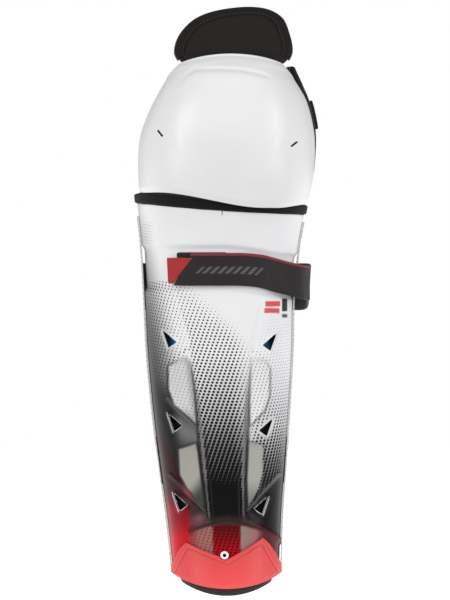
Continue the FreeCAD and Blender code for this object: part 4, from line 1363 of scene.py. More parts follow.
def make_bindings():
    """White tape folded over each side edge of the shell, with its two rows of stitches."""
    for side, word, top in ((-1, "left", 316.0), (1, "right", 311.0)):
        def at(depth, puff):
            def place(a, v):
                z = mix(20.0, top, v)
                crown = puff * bump(90.5, 5.2, a)
                return shin(side * a, z, depth - crown)
            return place
        face = at(-1.45, 0.35)
        us, vs = span(83.2, BINDING_EDGE - 0.6, 16), span(0, 1, 180)
        verts, faces, uvs, _ = slab_data(grid_of(face, us, vs), grid_of(at(-0.5, 0.0), us, vs), rim=6)
        thing = new_object(f"edge_binding_{word}_tape", verts, faces, [WHITE_TAPE], uvs)
        fit(thing, "shin", [f"edge_binding_{word}"], "white_binding")
        lines = []
        for a in (84.6, 93.6):
            v = span(0.01, 0.99, 240)
            points, normals = surface_line(face, np.full_like(v, a), v, 0.0)
            if (normals[:, 0] * points[:, 0]).sum() < 0:
                normals = -normals
            lines.append((points, normals))
        name = f"edge_binding_{word}_stitches"
        rows = stitching(name, BLACK_THREAD, lines, 2.7, 4.3, 0.85, 0.6, 0.12)
        fit(rows, "shin", None, "white_binding")


def make_hem():
    def at(depth, crown):
        def place(a, v):
            z = mix(11.0 * sin(a) ** 2, 14.0 + 8.6 * sin(a) ** 2, v)
            return shin(a, z, depth(a) + crown * (1 - (2 * v - 1) ** 4))
        return place
    outer, inner = at(lambda a: SHELL_WALL + 1.6, -1.2), at(lambda a: backing_depth(a) - 1.0, 1.0)
    verts, faces, uvs, _ = slab_data(grid_of(outer, span(-66, 66, 90), span(0, 1, 16)),
                                     grid_of(inner, span(-66, 66, 90), span(0, 1, 16)), rim=8)
    thing = new_object("ankle_hem_roll", verts, faces, [BLACK_KNIT], uvs)
    fit(thing, "shin", ["ankle_hem"], "black_neoprene", fill=0.9)
    points, normals = surface_line(outer, span(-62, 62, 200), np.full(201, 0.30))
    if normals[100][1] > 0:
        normals = -normals
    row = [(points, normals)]
    stitches = stitching("ankle_hem_stitches", GREY_THREAD, row, 2.4, 3.6, 0.6, 0.45, 0.1)
    fit(stitches, "shin", None, "black_neoprene")


OVERLAY_TOP = [
    (-47.8, 13.5), (-46.5, 17.0), (-34.0, 41.5), (1.4, 27.5),
    (31.2, 45.5), (47.6, 17.0), (48.4, 13.5),
]


def angle_at(x, z, depth):
    """The angle round from the front at which the shin's surface has an x."""
    low, high = np.full(np.shape(x), -89.0), np.full(np.shape(x), 89.0)
    for _ in range(34):
        middle = (low + high) / 2
        over = shin(middle, z, depth)[..., 0] > x
        low, high = np.where(over, low, middle), np.where(over, middle, high)
    return (low + high) / 2


def make_overlay():
    """Moulded toe overlay with a V in its top edge, a sewn groove inside its edge and a rounded rim."""
    corners = np.array(OVERLAY_TOP)
    knots = angle_at(corners[:, 0], corners[:, 1], -1.7)

    def bottom(a):
        return 3.8 + 12.5 * sin(a) ** 2

    def top(a):
        return np.maximum(np.interp(a, knots, corners[:, 1]), bottom(a) + 0.8)

    def relief(x, z):
        d = line_distance(x, z, OVERLAY_TOP[1:-1])
        return 0.45 * bump(3.3, 1.0, d) - 0.25 * bump(1.5, 1.4, d)

    def at(depth, shaped):
        def place(a, v):
            z = mix(bottom(a), top(a), v)
            flat = shin(a, z, depth)
            return shin(a, z, depth + shaped * relief(flat[..., 0], z) + 0.5 * shaped * bump(0.0, 0.12, v))
        return place
    bends = knots[1:-1]
    us = np.unique(np.concatenate([span(-83.5, 83.5, 230), bends, bends - 0.35, bends + 0.35]))
    vs = span(0, 1, 64)
    verts, faces, uvs, _ = slab_data(grid_of(at(-1.7, 1.0), us, vs), grid_of(at(-GAP, 0.0), us, vs), rim=6)
    thing = new_object("ankle_overlay_moulding", verts, faces, [OVERLAY_RED], uvs)
    hole = eyelet_circle(4.0, 32)
    carve(thing, prism_mesh("eyelet_cutter", [hole], -70.0, 0.0), 38.0)
    fit(thing, "shin", ["ankle_overlay"], "red_overlay")
    tree = tree_of(thing)
    line = polyline([(-43.2, 15.5), (-32.6, 37.0), (1.4, 23.7), (29.9, 40.6), (44.4, 15.5)], 0.6)
    row = [front_cast(tree, line)]
    stitches = stitching("ankle_overlay_stitches", RED_THREAD, row, 2.0, 3.0, 0.7, 0.5, 0.05)
    fit(stitches, "shin", None, "red_overlay")


def make_eyelet():
    """Turned eyelet: a rolled flange on a short barrel."""
    x, z = EYELET
    face = float(shin(np.array(0.0), np.array(z), 0.0)[..., 1])
    profile = [(1.5, 2.3), (1.5, -0.5), (1.6, -0.9), (1.9, -1.25), (2.4, -1.3), (3.0, -1.15), (3.45, -0.75),
               (3.6, -0.35), (3.55, -0.2), (2.5, -0.15), (2.5, 2.3)]
    n = 48
    verts, faces, uv = [], [], []
    for k in range(n):
        turn = 2 * math.pi * k / n
        for r, y in profile:
            verts.append((x + r * math.cos(turn), face + y, z + r * math.sin(turn)))
            uv.append((r * turn, y))
    m = len(profile)
    for k in range(n):
        for j in range(m):
            p, q = k * m, ((k + 1) % n) * m
            faces.append([p + j, p + (j + 1) % m, q + (j + 1) % m, q + j])
    thing = new_object("eyelet_ring", np.array(verts), faces, [EYELET_PAINT], np.array(uv))
    work = bmesh.new()
    work.from_mesh(thing.data)
    bmesh.ops.recalc_face_normals(work, faces=work.faces)
    work.to_mesh(thing.data)
    work.free()
    sharpen(thing, 50)
    fit(thing, "shin", ["eyelet"], "eyelet_paint")


def make_patches():
    """Loop patch for the strap's end, and the four hook patches that hold the liner."""
    def at(lift):
        return lambda a, v: shin(a, mix(258.6, 285.2, v), CHANNEL_DEPTH - lift)
    us, vs = span(-31, 4, 34), span(0, 1, 24)
    landing = slab("strap_landing_pile", PILE, at(1.3), at(GAP), us, vs, rim=4)
    fit(landing, "shin", ["strap_landing"], "hook_pile")
    made = []
    for z in (70.0, 235.0):
        for side in (-1, 1):
            def inner_at(extra):
                return lambda a, v: shin(side * a, mix(z - 22, z + 22, v), backing_depth(a) + extra)
            made.append(slab("patch", PILE, inner_at(GAP), inner_at(GAP + PATCH_WALL), span(16, 38, 16),
                             span(0, 1, 24), rim=4))
    fit(joined("liner_hook_patches_pile", made), "shin", ["liner_hook_patches"], "hook_pile")


# ---------------------------------------------------------------- liner
def make_liner():
    def at(extra):
        def place(a, v):
            z = mix(LINER_BOTTOM + 6.0 * sin(a) ** 2, LINER_TOP, v)
            return shin(a, z, liner_back(a) + extra)
        return place
    us, vs = span(-LINER_EDGE, LINER_EDGE, 90), span(0, 1, 110)
    thing = slab("liner_sheet_laminate", LINER_KNIT, at(0), at(LINER_BASE), us, vs, rim=6)
    fit(thing, "liner", ["liner_sheet"], "liner_fabric", fill=0.4)
    edge = np.concatenate([
        np.stack([span(-LINER_EDGE + 1.0, LINER_EDGE - 1.0, 120), np.full(121, 0.004)], -1),
        np.stack([np.full(179, LINER_EDGE - 1.0), span(0.01, 0.99, 178)], -1),
        np.stack([span(LINER_EDGE - 1.0, -LINER_EDGE + 1.0, 120), np.full(121, 0.996)], -1),
        np.stack([np.full(179, 1.0 - LINER_EDGE), span(0.99, 0.01, 178)], -1),
    ])
    points = at(LINER_BASE / 2)(edge[:, 0], edge[:, 1])
    normals = points - shin(edge[:, 0], points[:, 2], 60.0)
    normals[:, 2] = 0
    normals /= np.linalg.norm(normals, axis=1, keepdims=True)
    rim = tube("liner_edge_binding", BLACK_TAPE, points, normals, 3.4, 4.6, sides=12, closed=True)
    fit(rim, "liner", None, "liner_fabric")


def make_liner_pads():
    rows, gap = 5, 7.0
    first, last = LINER_BOTTOM + 12.0, LINER_TOP - 6.0
    pitch = (last - first + gap) / rows
    for word, low, high in (("left", -70.0, -30.0), ("centre", -24.0, 24.0), ("right", 30.0, 70.0)):
        made = []
        for i in range(rows):
            z0 = first + pitch * i
            z1 = z0 + pitch - gap

            def face(extra, crown):
                def place(a, v):
                    tall = mix(LINER_PAD_SIDE, LINER_PAD_FRONT, cos(a) ** 2)
                    across = (a - low) / (high - low)
                    edge = np.maximum(np.abs(2 * across - 1), np.abs(2 * v - 1))
                    round_off = 1 - 0.62 * edge ** 5
                    lift = extra + crown * tall * round_off
                    return shin(a, mix(z0, z1, v), liner_back(a) + LINER_BASE + lift)
                return place
            us, vs = span(low, high, 22), span(0, 1, 22)
            base, crown = grid_of(face(GAP, 0), us, vs), grid_of(face(GAP, 0.86), us, vs)
            verts, faces, _, _ = slab_data(base, crown, rim=5)

            def hold(co):
                return 1 - ease(1.2, 3.2, at_liner(co))
            made.append(puffed("pad", verts, faces, LINER_KNIT, hold, voxel=3.2, pressure=5.0, cap=5.0))
        quilt = joined(f"liner_pads_{word}_quilt", made)
        fit(quilt, "liner", [f"liner_pads_{word}"], "liner_fabric", fill=0.7)


def at_liner(co):
    """How far points stand off the liner's base, in mm."""
    x, y, z = co[:, 0], co[:, 1], co[:, 2]
    half, centre, front, reach = along(SHIN, z)
    angle = np.degrees(np.arctan2((x - centre) / half, -(y - front - reach) / reach))
    base = shin(angle, z, liner_back(angle) + LINER_BASE)
    middle = np.stack([centre, front + reach, z], axis=-1)
    return np.linalg.norm(base - middle, axis=1) - np.linalg.norm(co - middle, axis=1)


# ---------------------------------------------------------------- calf wings
def wing_place(side, thick):
    low, high = WING[0][0], WING[-1][0]

    def place(u, v):
        z = mix(low, high, v)
        rear, turn = along(WING, z)
        start = shin(side * 90.0 + 0 * z, z, 2.2)
        y0 = start[..., 1] + 6.0 + WING_GAP
        x = start[..., 0] - side * (turn * u ** 1.8 + thick(u, v))
        return stack(x, mix(y0, rear, u), z)
    return place


def wing_crown(low, high):
    def depth(u, v):
        full = 1 - 0.55 * ease(0.75, 1.0, u)
        full = full * (1 - 0.5 * np.maximum(ease(0.92, 1.0, v), 1 - ease(0.0, 0.08, v)))
        return low + (high - low) * full
    return depth


def make_wings():
    for side, word in ((-1, "left"), (1, "right")):
        body = f"calf_wing_{word}"
        base = PLATE_WALL + GAP
        us, vs = span(0.02, 0.985, 30), span(0.008, 0.992, 90)
        outer = wing_place(side, lambda u, v: base + 0 * u)
        inner = wing_place(side, wing_crown(base, base + 6.2))
        verts, faces, _, _ = slab_data(grid_of(outer, us, vs), grid_of(inner, us, vs), rim=6)

        def hold(co):
            start = shin(side * 90.0 + 0 * co[:, 2], co[:, 2], 2.2)
            inward = side * (start[:, 0] - co[:, 0])
            return 1 - ease(3.0, 5.5, inward - 0.15 * np.maximum(0.0, co[:, 1] - 30.0))
        name = f"calf_wing_pad_{word}_cover"
        pad = puffed(name, verts, faces, BLACK_KNIT, hold, voxel=4.0, pressure=4.0, cap=2.6)
        fit(pad, body, [f"calf_wing_pad_{word}"], "black_neoprene", fill=0.75)

        def ribs(u, v):
            across = np.minimum(u - 0.12, 0.84 - u) * 60
            down = np.minimum(v - 0.1, 0.9 - v) * 274
            rim_rise = -0.5 * bump(4.0, 2.4, np.minimum(across, down))
            rows = -0.55 * bump(0.5, 0.16, (v * 9.0) % 1.0) * ease(6, 9, across) * ease(10, 16, down)
            return rim_rise + rows
        us, vs = span(0.12, 0.84, 60), span(0.1, 0.9, 200)
        plate = slab(f"calf_wing_plate_{word}_moulding", WING_PLASTIC, wing_place(side, ribs),
                     wing_place(side, lambda u, v: PLATE_WALL + 0 * u), us, vs, rim=6)
        sharpen(plate, 50)
        fit(plate, body, [f"calf_wing_plate_{word}"], "wing_plastic")

        low, high = 30.0, 296.0

        def gusset(depth):
            def place(u, v):
                z = mix(low, high, v)
                start, edge = shin(side * SHELL_EDGE + 0 * z, z, 2.2), shin(side * 90.0 + 0 * z, z, 2.2)
                y = mix(start[..., 1] + GAP, edge[..., 1] + 6.0 + WING_GAP - GAP, u)
                creases = 0.15 * np.sin(v * 61.0 + u * 2.0) * np.sin(u * math.pi)
                folds = 0.25 * np.sin(u * math.pi * 3) + creases
                return stack(edge[..., 0] - side * (depth + folds), y, z)
            return place
        us, vs = span(0, 1, 16), span(0, 1, 150)
        grid = grid_of(gusset(0.8), us, vs)
        cloth = slab(f"wing_gusset_{word}_cloth", BLACK_TAPE, gusset(0.8), gusset(2.6), us, vs, rim=4)
        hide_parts(f"wing_gusset_{word}")
        wide, long = sheet_size(grid)
        middle = shin(np.array(side * 90.0), np.array(150.0), 2.2)
        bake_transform(cloth)


# ---------------------------------------------------------------- knee cap
LIP = [
    (-40.5, 427.0), (-33.0, 434.6), (-26.8, 438.4), (-6.0, 439.0),
    (13.6, 438.0), (27.0, 435.4), (37.0, 432.4),
]
FACETS = [
    [(-39.0, 381.0), (-33.5, 366.0), (-26.0, 345.0)],
    [(46.0, 381.0), (36.0, 364.0), (27.0, 345.0)],
]


def cap_relief(a, x, z):
    """How far the cap's surface lies in from its smooth form."""
    top, bottom = knee_top(a) - z, z - knee_bottom(a)
    depth = -0.9 * bump(3.0, 5.0, top)
    d = line_distance(x, z, LIP)
    below = ease(-2.5, 2.5, np.interp(x, [p[0] for p in LIP], [p[1] for p in LIP]) - z)
    depth += 1.15 * bump(0.0, 3.0, d) * ease(-41, -30, x) * (1 - ease(30, 41, x))
    depth -= 0.35 * below * bump(4.5, 5.0, d)
    for line in FACETS:
        depth -= 0.55 * bump(0.0, 9.0, line_distance(x, z, line))
    centre = bump(0.5, 27.0, x) * bump(352.0, 34.0, z)
    depth += 0.35 * centre
    depth += 0.8 * (1 - ease(0.0, 5.0, bottom)) ** 2
    side = ease(60.0, 82.0, np.abs(a))
    depth += 0.35 * bump(70.0, 5.0, np.abs(a)) * ease(352, 372, z) * (1 - ease(418, 432, z))
    depth += 0.4 * side
    return depth


def make_cap():
    us, vs = span(-90, 90, 210), span(0, 1, 180)

    def outer(a, v):
        z = mix(knee_bottom(a), knee_top(a), v)
        x = knee(a, z, 0.0)[..., 0]
        return knee(a, z, cap_relief(a, x, z))

    def inner(a, v):
        return knee(a, mix(knee_bottom(a), knee_top(a), v), CAP_WALL)
    verts, faces, uvs, _ = slab_data(grid_of(outer, us, vs), grid_of(inner, us, vs), rim=7)
    cap = new_object("knee_cap_moulding", verts, faces, [CAP_WHITE], uvs)
    slots = []
    for x, z, turn in LASHINGS:
        c, s = math.cos(math.radians(turn)), math.sin(math.radians(turn))
        half_w, half_l = 0.8, 3.4
        corners = [(-half_w, -half_l), (half_w, -half_l), (half_w, half_l), (-half_w, half_l)]
        slots.append(rounded([(x + c * p + s * q, z - s * p + c * q) for p, q in corners], 0.45))
    carve(cap, prism_mesh("slot_cutter", slots, -90.0, -8.0), 38.0)
    fit(cap, "knee", ["knee_cap"], "cap_plastic")


def make_lashings():
    """The flat cord end in each slot, bowed a little proud of the cap."""
    made = []
    for x, z, turn in LASHINGS:
        c, s = math.cos(math.radians(turn)), math.sin(math.radians(turn))
        side = -1 if x < 0 else 1

        def at(depth, side=side):
            def place(w, t):
                px, pz = x + c * w + s * t, z - s * w + c * t
                a, b = np.full(px.shape, 5.0), np.full(px.shape, 88.0)
                for _ in range(30):
                    m = (a + b) / 2
                    over = side * knee(side * m, pz, depth)[..., 0] > side * px
                    a, b = np.where(over, a, m), np.where(over, m, b)
                lift = -0.35 * (1 - (t / 3.1) ** 2) * (depth < 1.0)
                spot = knee(side * a, pz, depth)
                return stack(px, spot[..., 1] + lift, pz)
            return place
        made.append(slab("cord", CORD_BLACK, at(0.3), at(CAP_WALL + 0.05), span(-0.7, 0.7, 4),
                         span(-3.1, 3.1, 12), rim=4, bulge=0.1))
    fit(joined("knee_cap_lashings_cord", made), "knee", ["knee_cap_lashings"], "black_fabric")


def make_knee_layers():
    def layer(name, node, material, slot, start, end, edge, lift, top, fill):
        def at(depth):
            return lambda a, v: knee(a, mix(knee_bottom(a) + lift, top + 0 * a, v), depth)
        thing = slab(name, material, at(start), at(end), span(-edge, edge, 90), span(0, 1, 60), rim=6)
        fit(thing, "knee", [node], slot, fill)
    start, end = CAP_WALL + 0.5, CAP_WALL + GAP + KNEE_FOAM
    # This layer has no attribute for where the foam is unshaded, so the foam material paints it very dark as
    # shade all over.
    layer("knee_cap_foam_liner", "knee_cap_foam", BLUE_FOAM, "blue_foam", start, end, 88, 5.0, 430.0, 1.0)
    start = CAP_WALL + 2 * GAP + KNEE_FOAM
    end = start + KNEE_LINING
    layer("knee_lining_cloth", "knee_lining", LINER_KNIT, "liner_fabric", start, end, 86, 6.0, 427.0, 0.4)


def make_donut():
    """Padded ring for the knee, blown up from a ring with a tapered hole."""
    depth = CAP_WALL + 4 * GAP + KNEE_FOAM + KNEE_LINING

    def at(extra, crown):
        def place(a, v):
            z = mix(346.0, 416.0, v)
            x = knee(a, z, depth)[..., 0]
            d = np.hypot(x - 1.5, z - 381.0)
            edge = np.maximum(np.abs(a / 50.0), np.abs(2 * v - 1))
            high = (1 - 0.6 * edge ** 6) * (0.35 + 0.65 * ease(20.0, 27.0, d))
            return knee(a, z, depth + extra + crown * high)
        return place
    verts, faces, _, _ = slab_data(grid_of(at(0.0, 0.0), span(-50, 50, 44), span(0, 1, 34)),
                                   grid_of(at(0.0, 8.0), span(-50, 50, 44), span(0, 1, 34)), rim=5)
    block = new_object("ring", verts, faces, [LINER_KNIT])
    ring = [(1.5 + 19.0 * math.cos(t), 381.0 + 19.0 * math.sin(t)) for t in np.arange(40) * math.pi / 20]
    carve(block, prism_mesh("ring_cutter", [ring], -90.0, 20.0))
    co = [tuple(v.co / MM) for v in block.data.vertices]
    polygons = [list(p.vertices) for p in block.data.polygons]
    bpy.data.objects.remove(block)

    def hold(points):
        half, centre, front, reach = along(KNEE, points[:, 2])
        across, deep = (points[:, 0] - centre) / half, (points[:, 1] - front - reach) / reach
        angle = np.degrees(np.arctan2(across, -deep))
        base = knee(angle, points[:, 2], depth)
        middle = np.stack([centre, front + reach, points[:, 2]], axis=-1)
        stand = np.linalg.norm(base - middle, axis=1) - np.linalg.norm(points - middle, axis=1)
        return 1 - ease(1.0, 3.0, stand)
    ring = np.array(co)
    ring_pad = puffed("knee_donut_pad", ring, polygons, LINER_KNIT, hold, voxel=3.0, pressure=4.0, cap=2.5)
    fit(ring_pad, "knee", ["knee_donut"], "liner_fabric", fill=0.8)


def knee_wing_place(side, depth):
    low, high = KNEE_WING[0][0], KNEE_WING[-1][0]

    def place(u, v):
        z = mix(low, high, v)
        behind, rear, out = along(KNEE_WING, z)
        start = knee(side * 90.0 + 0 * z, z, 0)
        stand = out if side > 0 else -0.6 + 0 * out
        x = start[..., 0] + side * (stand - depth - 6.0 * u * u)
        return stack(x, mix(start[..., 1] + behind, rear, u), z)
    return place


def make_knee_wings():
    for side, word in ((-1, "left"), (1, "right")):
        us, vs = span(0.03, 0.98, 18), span(0.02, 0.99, 50)
        verts, faces, _, _ = slab_data(grid_of(knee_wing_place(side, 0.3), us, vs),
                                       grid_of(knee_wing_place(side, 6.6), us, vs), rim=6)

        def hold(co):
            out = along(KNEE_WING, co[:, 2])[2]
            start = knee(side * 90.0 + 0 * co[:, 2], co[:, 2], 0)
            stand = out if side > 0 else -0.6 + 0 * out
            face = start[:, 0] + side * stand
            return 0.9 * (1 - ease(1.0, 3.0, side * (face - co[:, 0])))
        name = f"knee_wing_{word}_cover"
        pad = puffed(name, verts, faces, BLACK_KNIT, hold, voxel=3.2, pressure=3.0, cap=1.2)
        fit(pad, "knee", [f"knee_wing_{word}"], "black_neoprene", fill=0.7)

    def at(lift):
        return lambda u, v: knee_wing_place(1, -lift)(mix(0.1, 0.5, u), mix(0.44, 0.68, v))
    tab = slab("knee_wing_tab_patch", PILE, at(1.9), at(0.1), span(0, 1, 14), span(0, 1, 20), rim=4)
    fit(tab, "knee", ["knee_wing_tab"], "hook_pile")


def make_bridge():
    """Padded band between the shell and the cap, with a sewn channel."""
    def at(low_depth, high_depth, bulge):
        def place(a, v):
            z = mix(shin_top(a) + 0.4, knee_bottom(a) + 4.2, v)
            t = ease(0.54, 0.76, v)
            channel_line = 0.55 * bump(0.62, 0.10, v)
            roll = ease(0.0, 0.12, v) * (1 - ease(0.58, 0.74, v))
            swell = bulge * roll * (1 + 0.6 * ease(58, 84, np.abs(a)))
            low = shin(a, z, low_depth - swell + channel_line)
            return low + (knee(a, z, high_depth) - low) * t[..., None]
        return place
    us, vs = span(-88, 88, 170), span(0, 1, 40)
    outer = grid_of(at(0.6, CAP_WALL + 0.5, 1.6), us, vs)
    inner = grid_of(at(8.0, CAP_WALL + 6.0, -0.5), us, vs)
    out = outer - inner
    out /= np.linalg.norm(out, axis=-1, keepdims=True)
    outer = outer + out * ripple(outer, 14.0, 0.28)[..., None]
    verts, faces, uvs, _ = slab_data(outer, inner, rim=8)
    band_piece = new_object("knee_bridge_cover", verts, faces, [BRIDGE_CLOTH], uvs)
    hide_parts("knee_bridge")
    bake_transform(band_piece)


# ---------------------------------------------------------------- thigh flap
def flap_face(x, z):
    return FLAP_FRONT + FLAP_BEND * ((x - FLAP_CENTRE) / FLAP_HALF) ** 2 + FLAP_LEAN * (z - FLAP_LOW)


def flap_outline(inset, count=220):
    left, right = FLAP_CENTRE - FLAP_HALF + inset, FLAP_CENTRE + FLAP_HALF - inset
    low, top = FLAP_LOW + inset, FLAP_TOP - inset
    points = np.array([
        (left + 22, low), (left + 15, low + 7), (left + 4.5, low + 13.5), (left, low + 22),
        (left + 4.5, low + 36), (left + 18, top - 8.5), (left + 40, top - 1.6),
        (right - 26, top), (right - 9, top - 7), (right - 2.2, low + 36),
        (right, low + 22), (right - 4.5, low + 13.5), (right - 15, low + 7), (right - 22, low),
    ])
    run = np.concatenate([[0], np.cumsum(np.linalg.norm(np.diff(points, axis=0), axis=1))])
    rows = [(float(r), float(p[0]), float(p[1])) for r, p in zip(run, points)]
    x, z = along(rows, np.linspace(0, run[-1], count))
    curve = np.stack([x, z], axis=-1)
    base = np.linspace(points[-1], points[0], 24)[1:-1]
    loop = np.concatenate([curve, base])
    return loop


def make_flap():
    """The flap's padded front and back, the tape round its edge, and its stitches."""
    centre = (FLAP_CENTRE, 460.0)
    loop = flap_outline(1.1)

    def front(x, z, r):
        crown = 0.55 * (1 - r ** 3)
        return flap_face(x, z) + 0.65 - crown + ripple(np.stack([x, z, r * 0], -1), 11.0, 0.35) * (1 - r ** 6)

    def front_back(x, z, r):
        return flap_face(x, z) + 5.7 + 0 * r

    def back(x, z, r):
        return flap_face(x, z) + 6.3 + 0 * r

    def back_back(x, z, r):
        crown = 0.5 * (1 - r ** 3)
        quilt = 0.35 * bump(0.0, 2.2, np.abs((x - FLAP_CENTRE) % 24.0 - 12.0)) * (1 - r ** 4)
        return flap_face(x, z) + 11.4 + crown - quilt

    verts, faces, uv = disc_data(loop, centre, front, front_back, rings=44, rim=6, bulge=0.3)

    def hold(co):
        gap = -inside(co[:, 0], co[:, 2], [tuple(p) for p in flap_outline(1.1, 70)])
        rim_hold = 1 - ease(6.0, 11.0, -gap)
        rear = ease(2.0, 3.5, co[:, 1] - flap_face(co[:, 0], co[:, 2]))
        return np.maximum(rim_hold, rear)
    cover = puffed("thigh_flap_front_cover", verts, faces, FLAP_CLOTH, hold, voxel=2.2, pressure=3.0, cap=0.9,
                   smooth=1)
    fit(cover, "thigh_flap", ["thigh_flap_front"], "black_fabric", fill=0.5)

    verts, faces, uv = disc_data(loop, centre, back, back_back, rings=30, rim=6, bulge=0.3)
    rear = new_object("thigh_flap_back_cover", verts, faces, [LINER_KNIT], uv)
    fit(rear, "thigh_flap", ["thigh_flap_back"], "liner_fabric", fill=0.5)

    edge = flap_outline(0.6, 200)[:200]
    edge = edge[edge[:, 1] > FLAP_LOW + 15.5]
    step = np.gradient(edge, axis=0)
    away = np.stack([-step[:, 1], step[:, 0]], axis=-1)
    away /= np.linalg.norm(away, axis=1, keepdims=True)
    if ((edge - np.array(centre)) * away).sum() < 0:
        away = -away
    wide = 4.6 + 2.6 * np.abs(away[:, 0])

    def wrap(t):
        def section_at(s):
            ahead = np.clip(1 - s / 0.36, 0, 1)
            behind = np.clip((s - 0.64) / 0.36, 0, 1)
            turn = np.clip((s - 0.36) / 0.28, 0, 1) * math.pi
            inset = (ahead + behind) * wide
            out = np.sin(turn) * (0.9 + t)
            y_mid, half_y = 6.0, 6.0 + t * mix(0.3, 1.0, ease(FLAP_LOW + 14, FLAP_LOW + 36, edge[:, 1]))
            spot = edge + away * (out - inset)[:, None]
            y = flap_face(spot[:, 0], spot[:, 1]) + y_mid - np.cos(turn) * half_y
            y = y + 0.35 * t * ahead
            return np.stack([spot[:, 0], y, spot[:, 1]], axis=-1)
        return np.stack([section_at(np.float64(s)) for s in span(0, 1, 40)], axis=1)
    verts, faces, uvs, _ = slab_data(wrap(0.75), wrap(-0.25), rim=5)
    tape = new_object("thigh_flap_binding_tape", verts, faces, [BLACK_TAPE], uvs)
    fit(tape, "thigh_flap", ["thigh_flap_binding"], "black_fabric")
    tape_tree = tree_of(tape)
    inner_line = edge - away * (wide - 1.3)[:, None]
    row = [front_cast(tape_tree, inner_line)]
    stitches = stitching("thigh_flap_binding_stitches", BLACK_THREAD, row, 2.4, 3.5, 0.7, 0.5, 0.1)
    fit(stitches, "thigh_flap", None, "black_fabric")


def make_flap_hinge():
    def at(back):
        def place(x, v):
            reach = (x - FLAP_CENTRE) * mix(1.25, 1.0, v) + FLAP_CENTRE
            middle = along(KNEE, np.array(430.0))[1]
            low_y = -43.0 + 34.0 * (np.abs(reach - middle) / 44.0) ** 2.6
            waves = 0.3 * np.sin(x * 0.6) * np.sin(v * math.pi)
            y = mix(low_y, flap_face(x, FLAP_LOW) + 4.0, v) + back + waves
            return stack(reach, y, mix(430.6, FLAP_LOW - 0.4, v) + back * 0.1)
        return place
    us, vs = span(FLAP_CENTRE - 26, FLAP_CENTRE + 26, 60), span(0, 1, 16)
    web = slab("thigh_flap_hinge_web", BLACK_CLOTH, at(0.0), at(2.0), us, vs, rim=5)
    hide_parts("thigh_flap_hinge")
    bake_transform(web)


# ---------------------------------------------------------------- straps
def fixed(value):
    return lambda _: value


def on_path(points, at):
    """Points and outward normals on a smooth plan path; points are x, y pairs of arrays or numbers."""
    at = np.asarray(at, float)
    full = np.stack([np.stack([np.broadcast_to(c, at.shape) for c in p], axis=-1) for p in points])
    last = len(points) - 1

    def spot(t):
        i = np.clip(np.floor(t), 0, last - 1).astype(int)
        f = (t - i)[..., None]

        def take(k):
            return np.take_along_axis(full, np.clip(k, 0, last)[None, ..., None], axis=0)[0]
        before, after = np.maximum(i - 1, 0), np.minimum(i + 2, last)
        a, b = take(i), take(i + 1)
        rise_a = (b - take(before)) / (i + 1 - before)[..., None]
        rise_b = (take(after) - a) / (after - i)[..., None]
        return (a * (1 + 2 * f) * (1 - f) ** 2 + rise_a * f * (1 - f) ** 2 + b * f * f * (3 - 2 * f)
                + rise_b * f * f * (f - 1))
    here = spot(np.clip(at, 0, last))
    step = spot(np.clip(at + 0.01, 0, last)) - spot(np.clip(at - 0.01, 0, last))
    size = np.linalg.norm(step, axis=-1)
    return here[..., 0], here[..., 1], step[..., 1] / size, -step[..., 0] / size


def band_place(points, start, end, low, high, lift, level=0.0, flare=0.0):
    """A strap's face: u along it, v up it, a distance outside its path."""
    def place(u, v):
        t = mix(start(v), end(v), u)
        z = mix(low(t), high(t), v)
        path = points(z)
        x, y, nx, ny = on_path(path, t * (len(path) - 1))
        off = lift(t, z, v) if callable(lift) else lift
        return stack(x * (1 + flare * (z - level)) + nx * off, y + ny * off, z)
    return place


def strap_front_path(z):
    path = []
    for angle in (-44, -30, -15, 0, 15, 30, 42):
        p = shin(angle + 0 * z, z, CHANNEL_DEPTH - 1.6)
        path.append((p[..., 0], p[..., 1]))
    return path + [(50.5, -12.0), (61.5, -5.5), (67.6, 5.5)]


def upper_low(t):
    return mix(258.3, 246.5, ease(0.42, 1.0, t))


def upper_high(t):
    return mix(282.2, 271.8, ease(0.42, 1.0, t))


def slant(gap):
    return lambda v: mix(0.080, 0.194, v) + gap


def strap_slab(name, material, path, ends, heights, depths, counts, rim=6, level=0.0, flare=0.0):
    """A strap between two ends along its path, two heights and two depths off the path."""
    inner, outer = (band_place(path, *ends, *heights, depth, level, flare) for depth in depths)
    return slab(name, material, outer, inner, span(0, 1, counts[0]), span(0, 1, counts[1]), rim)


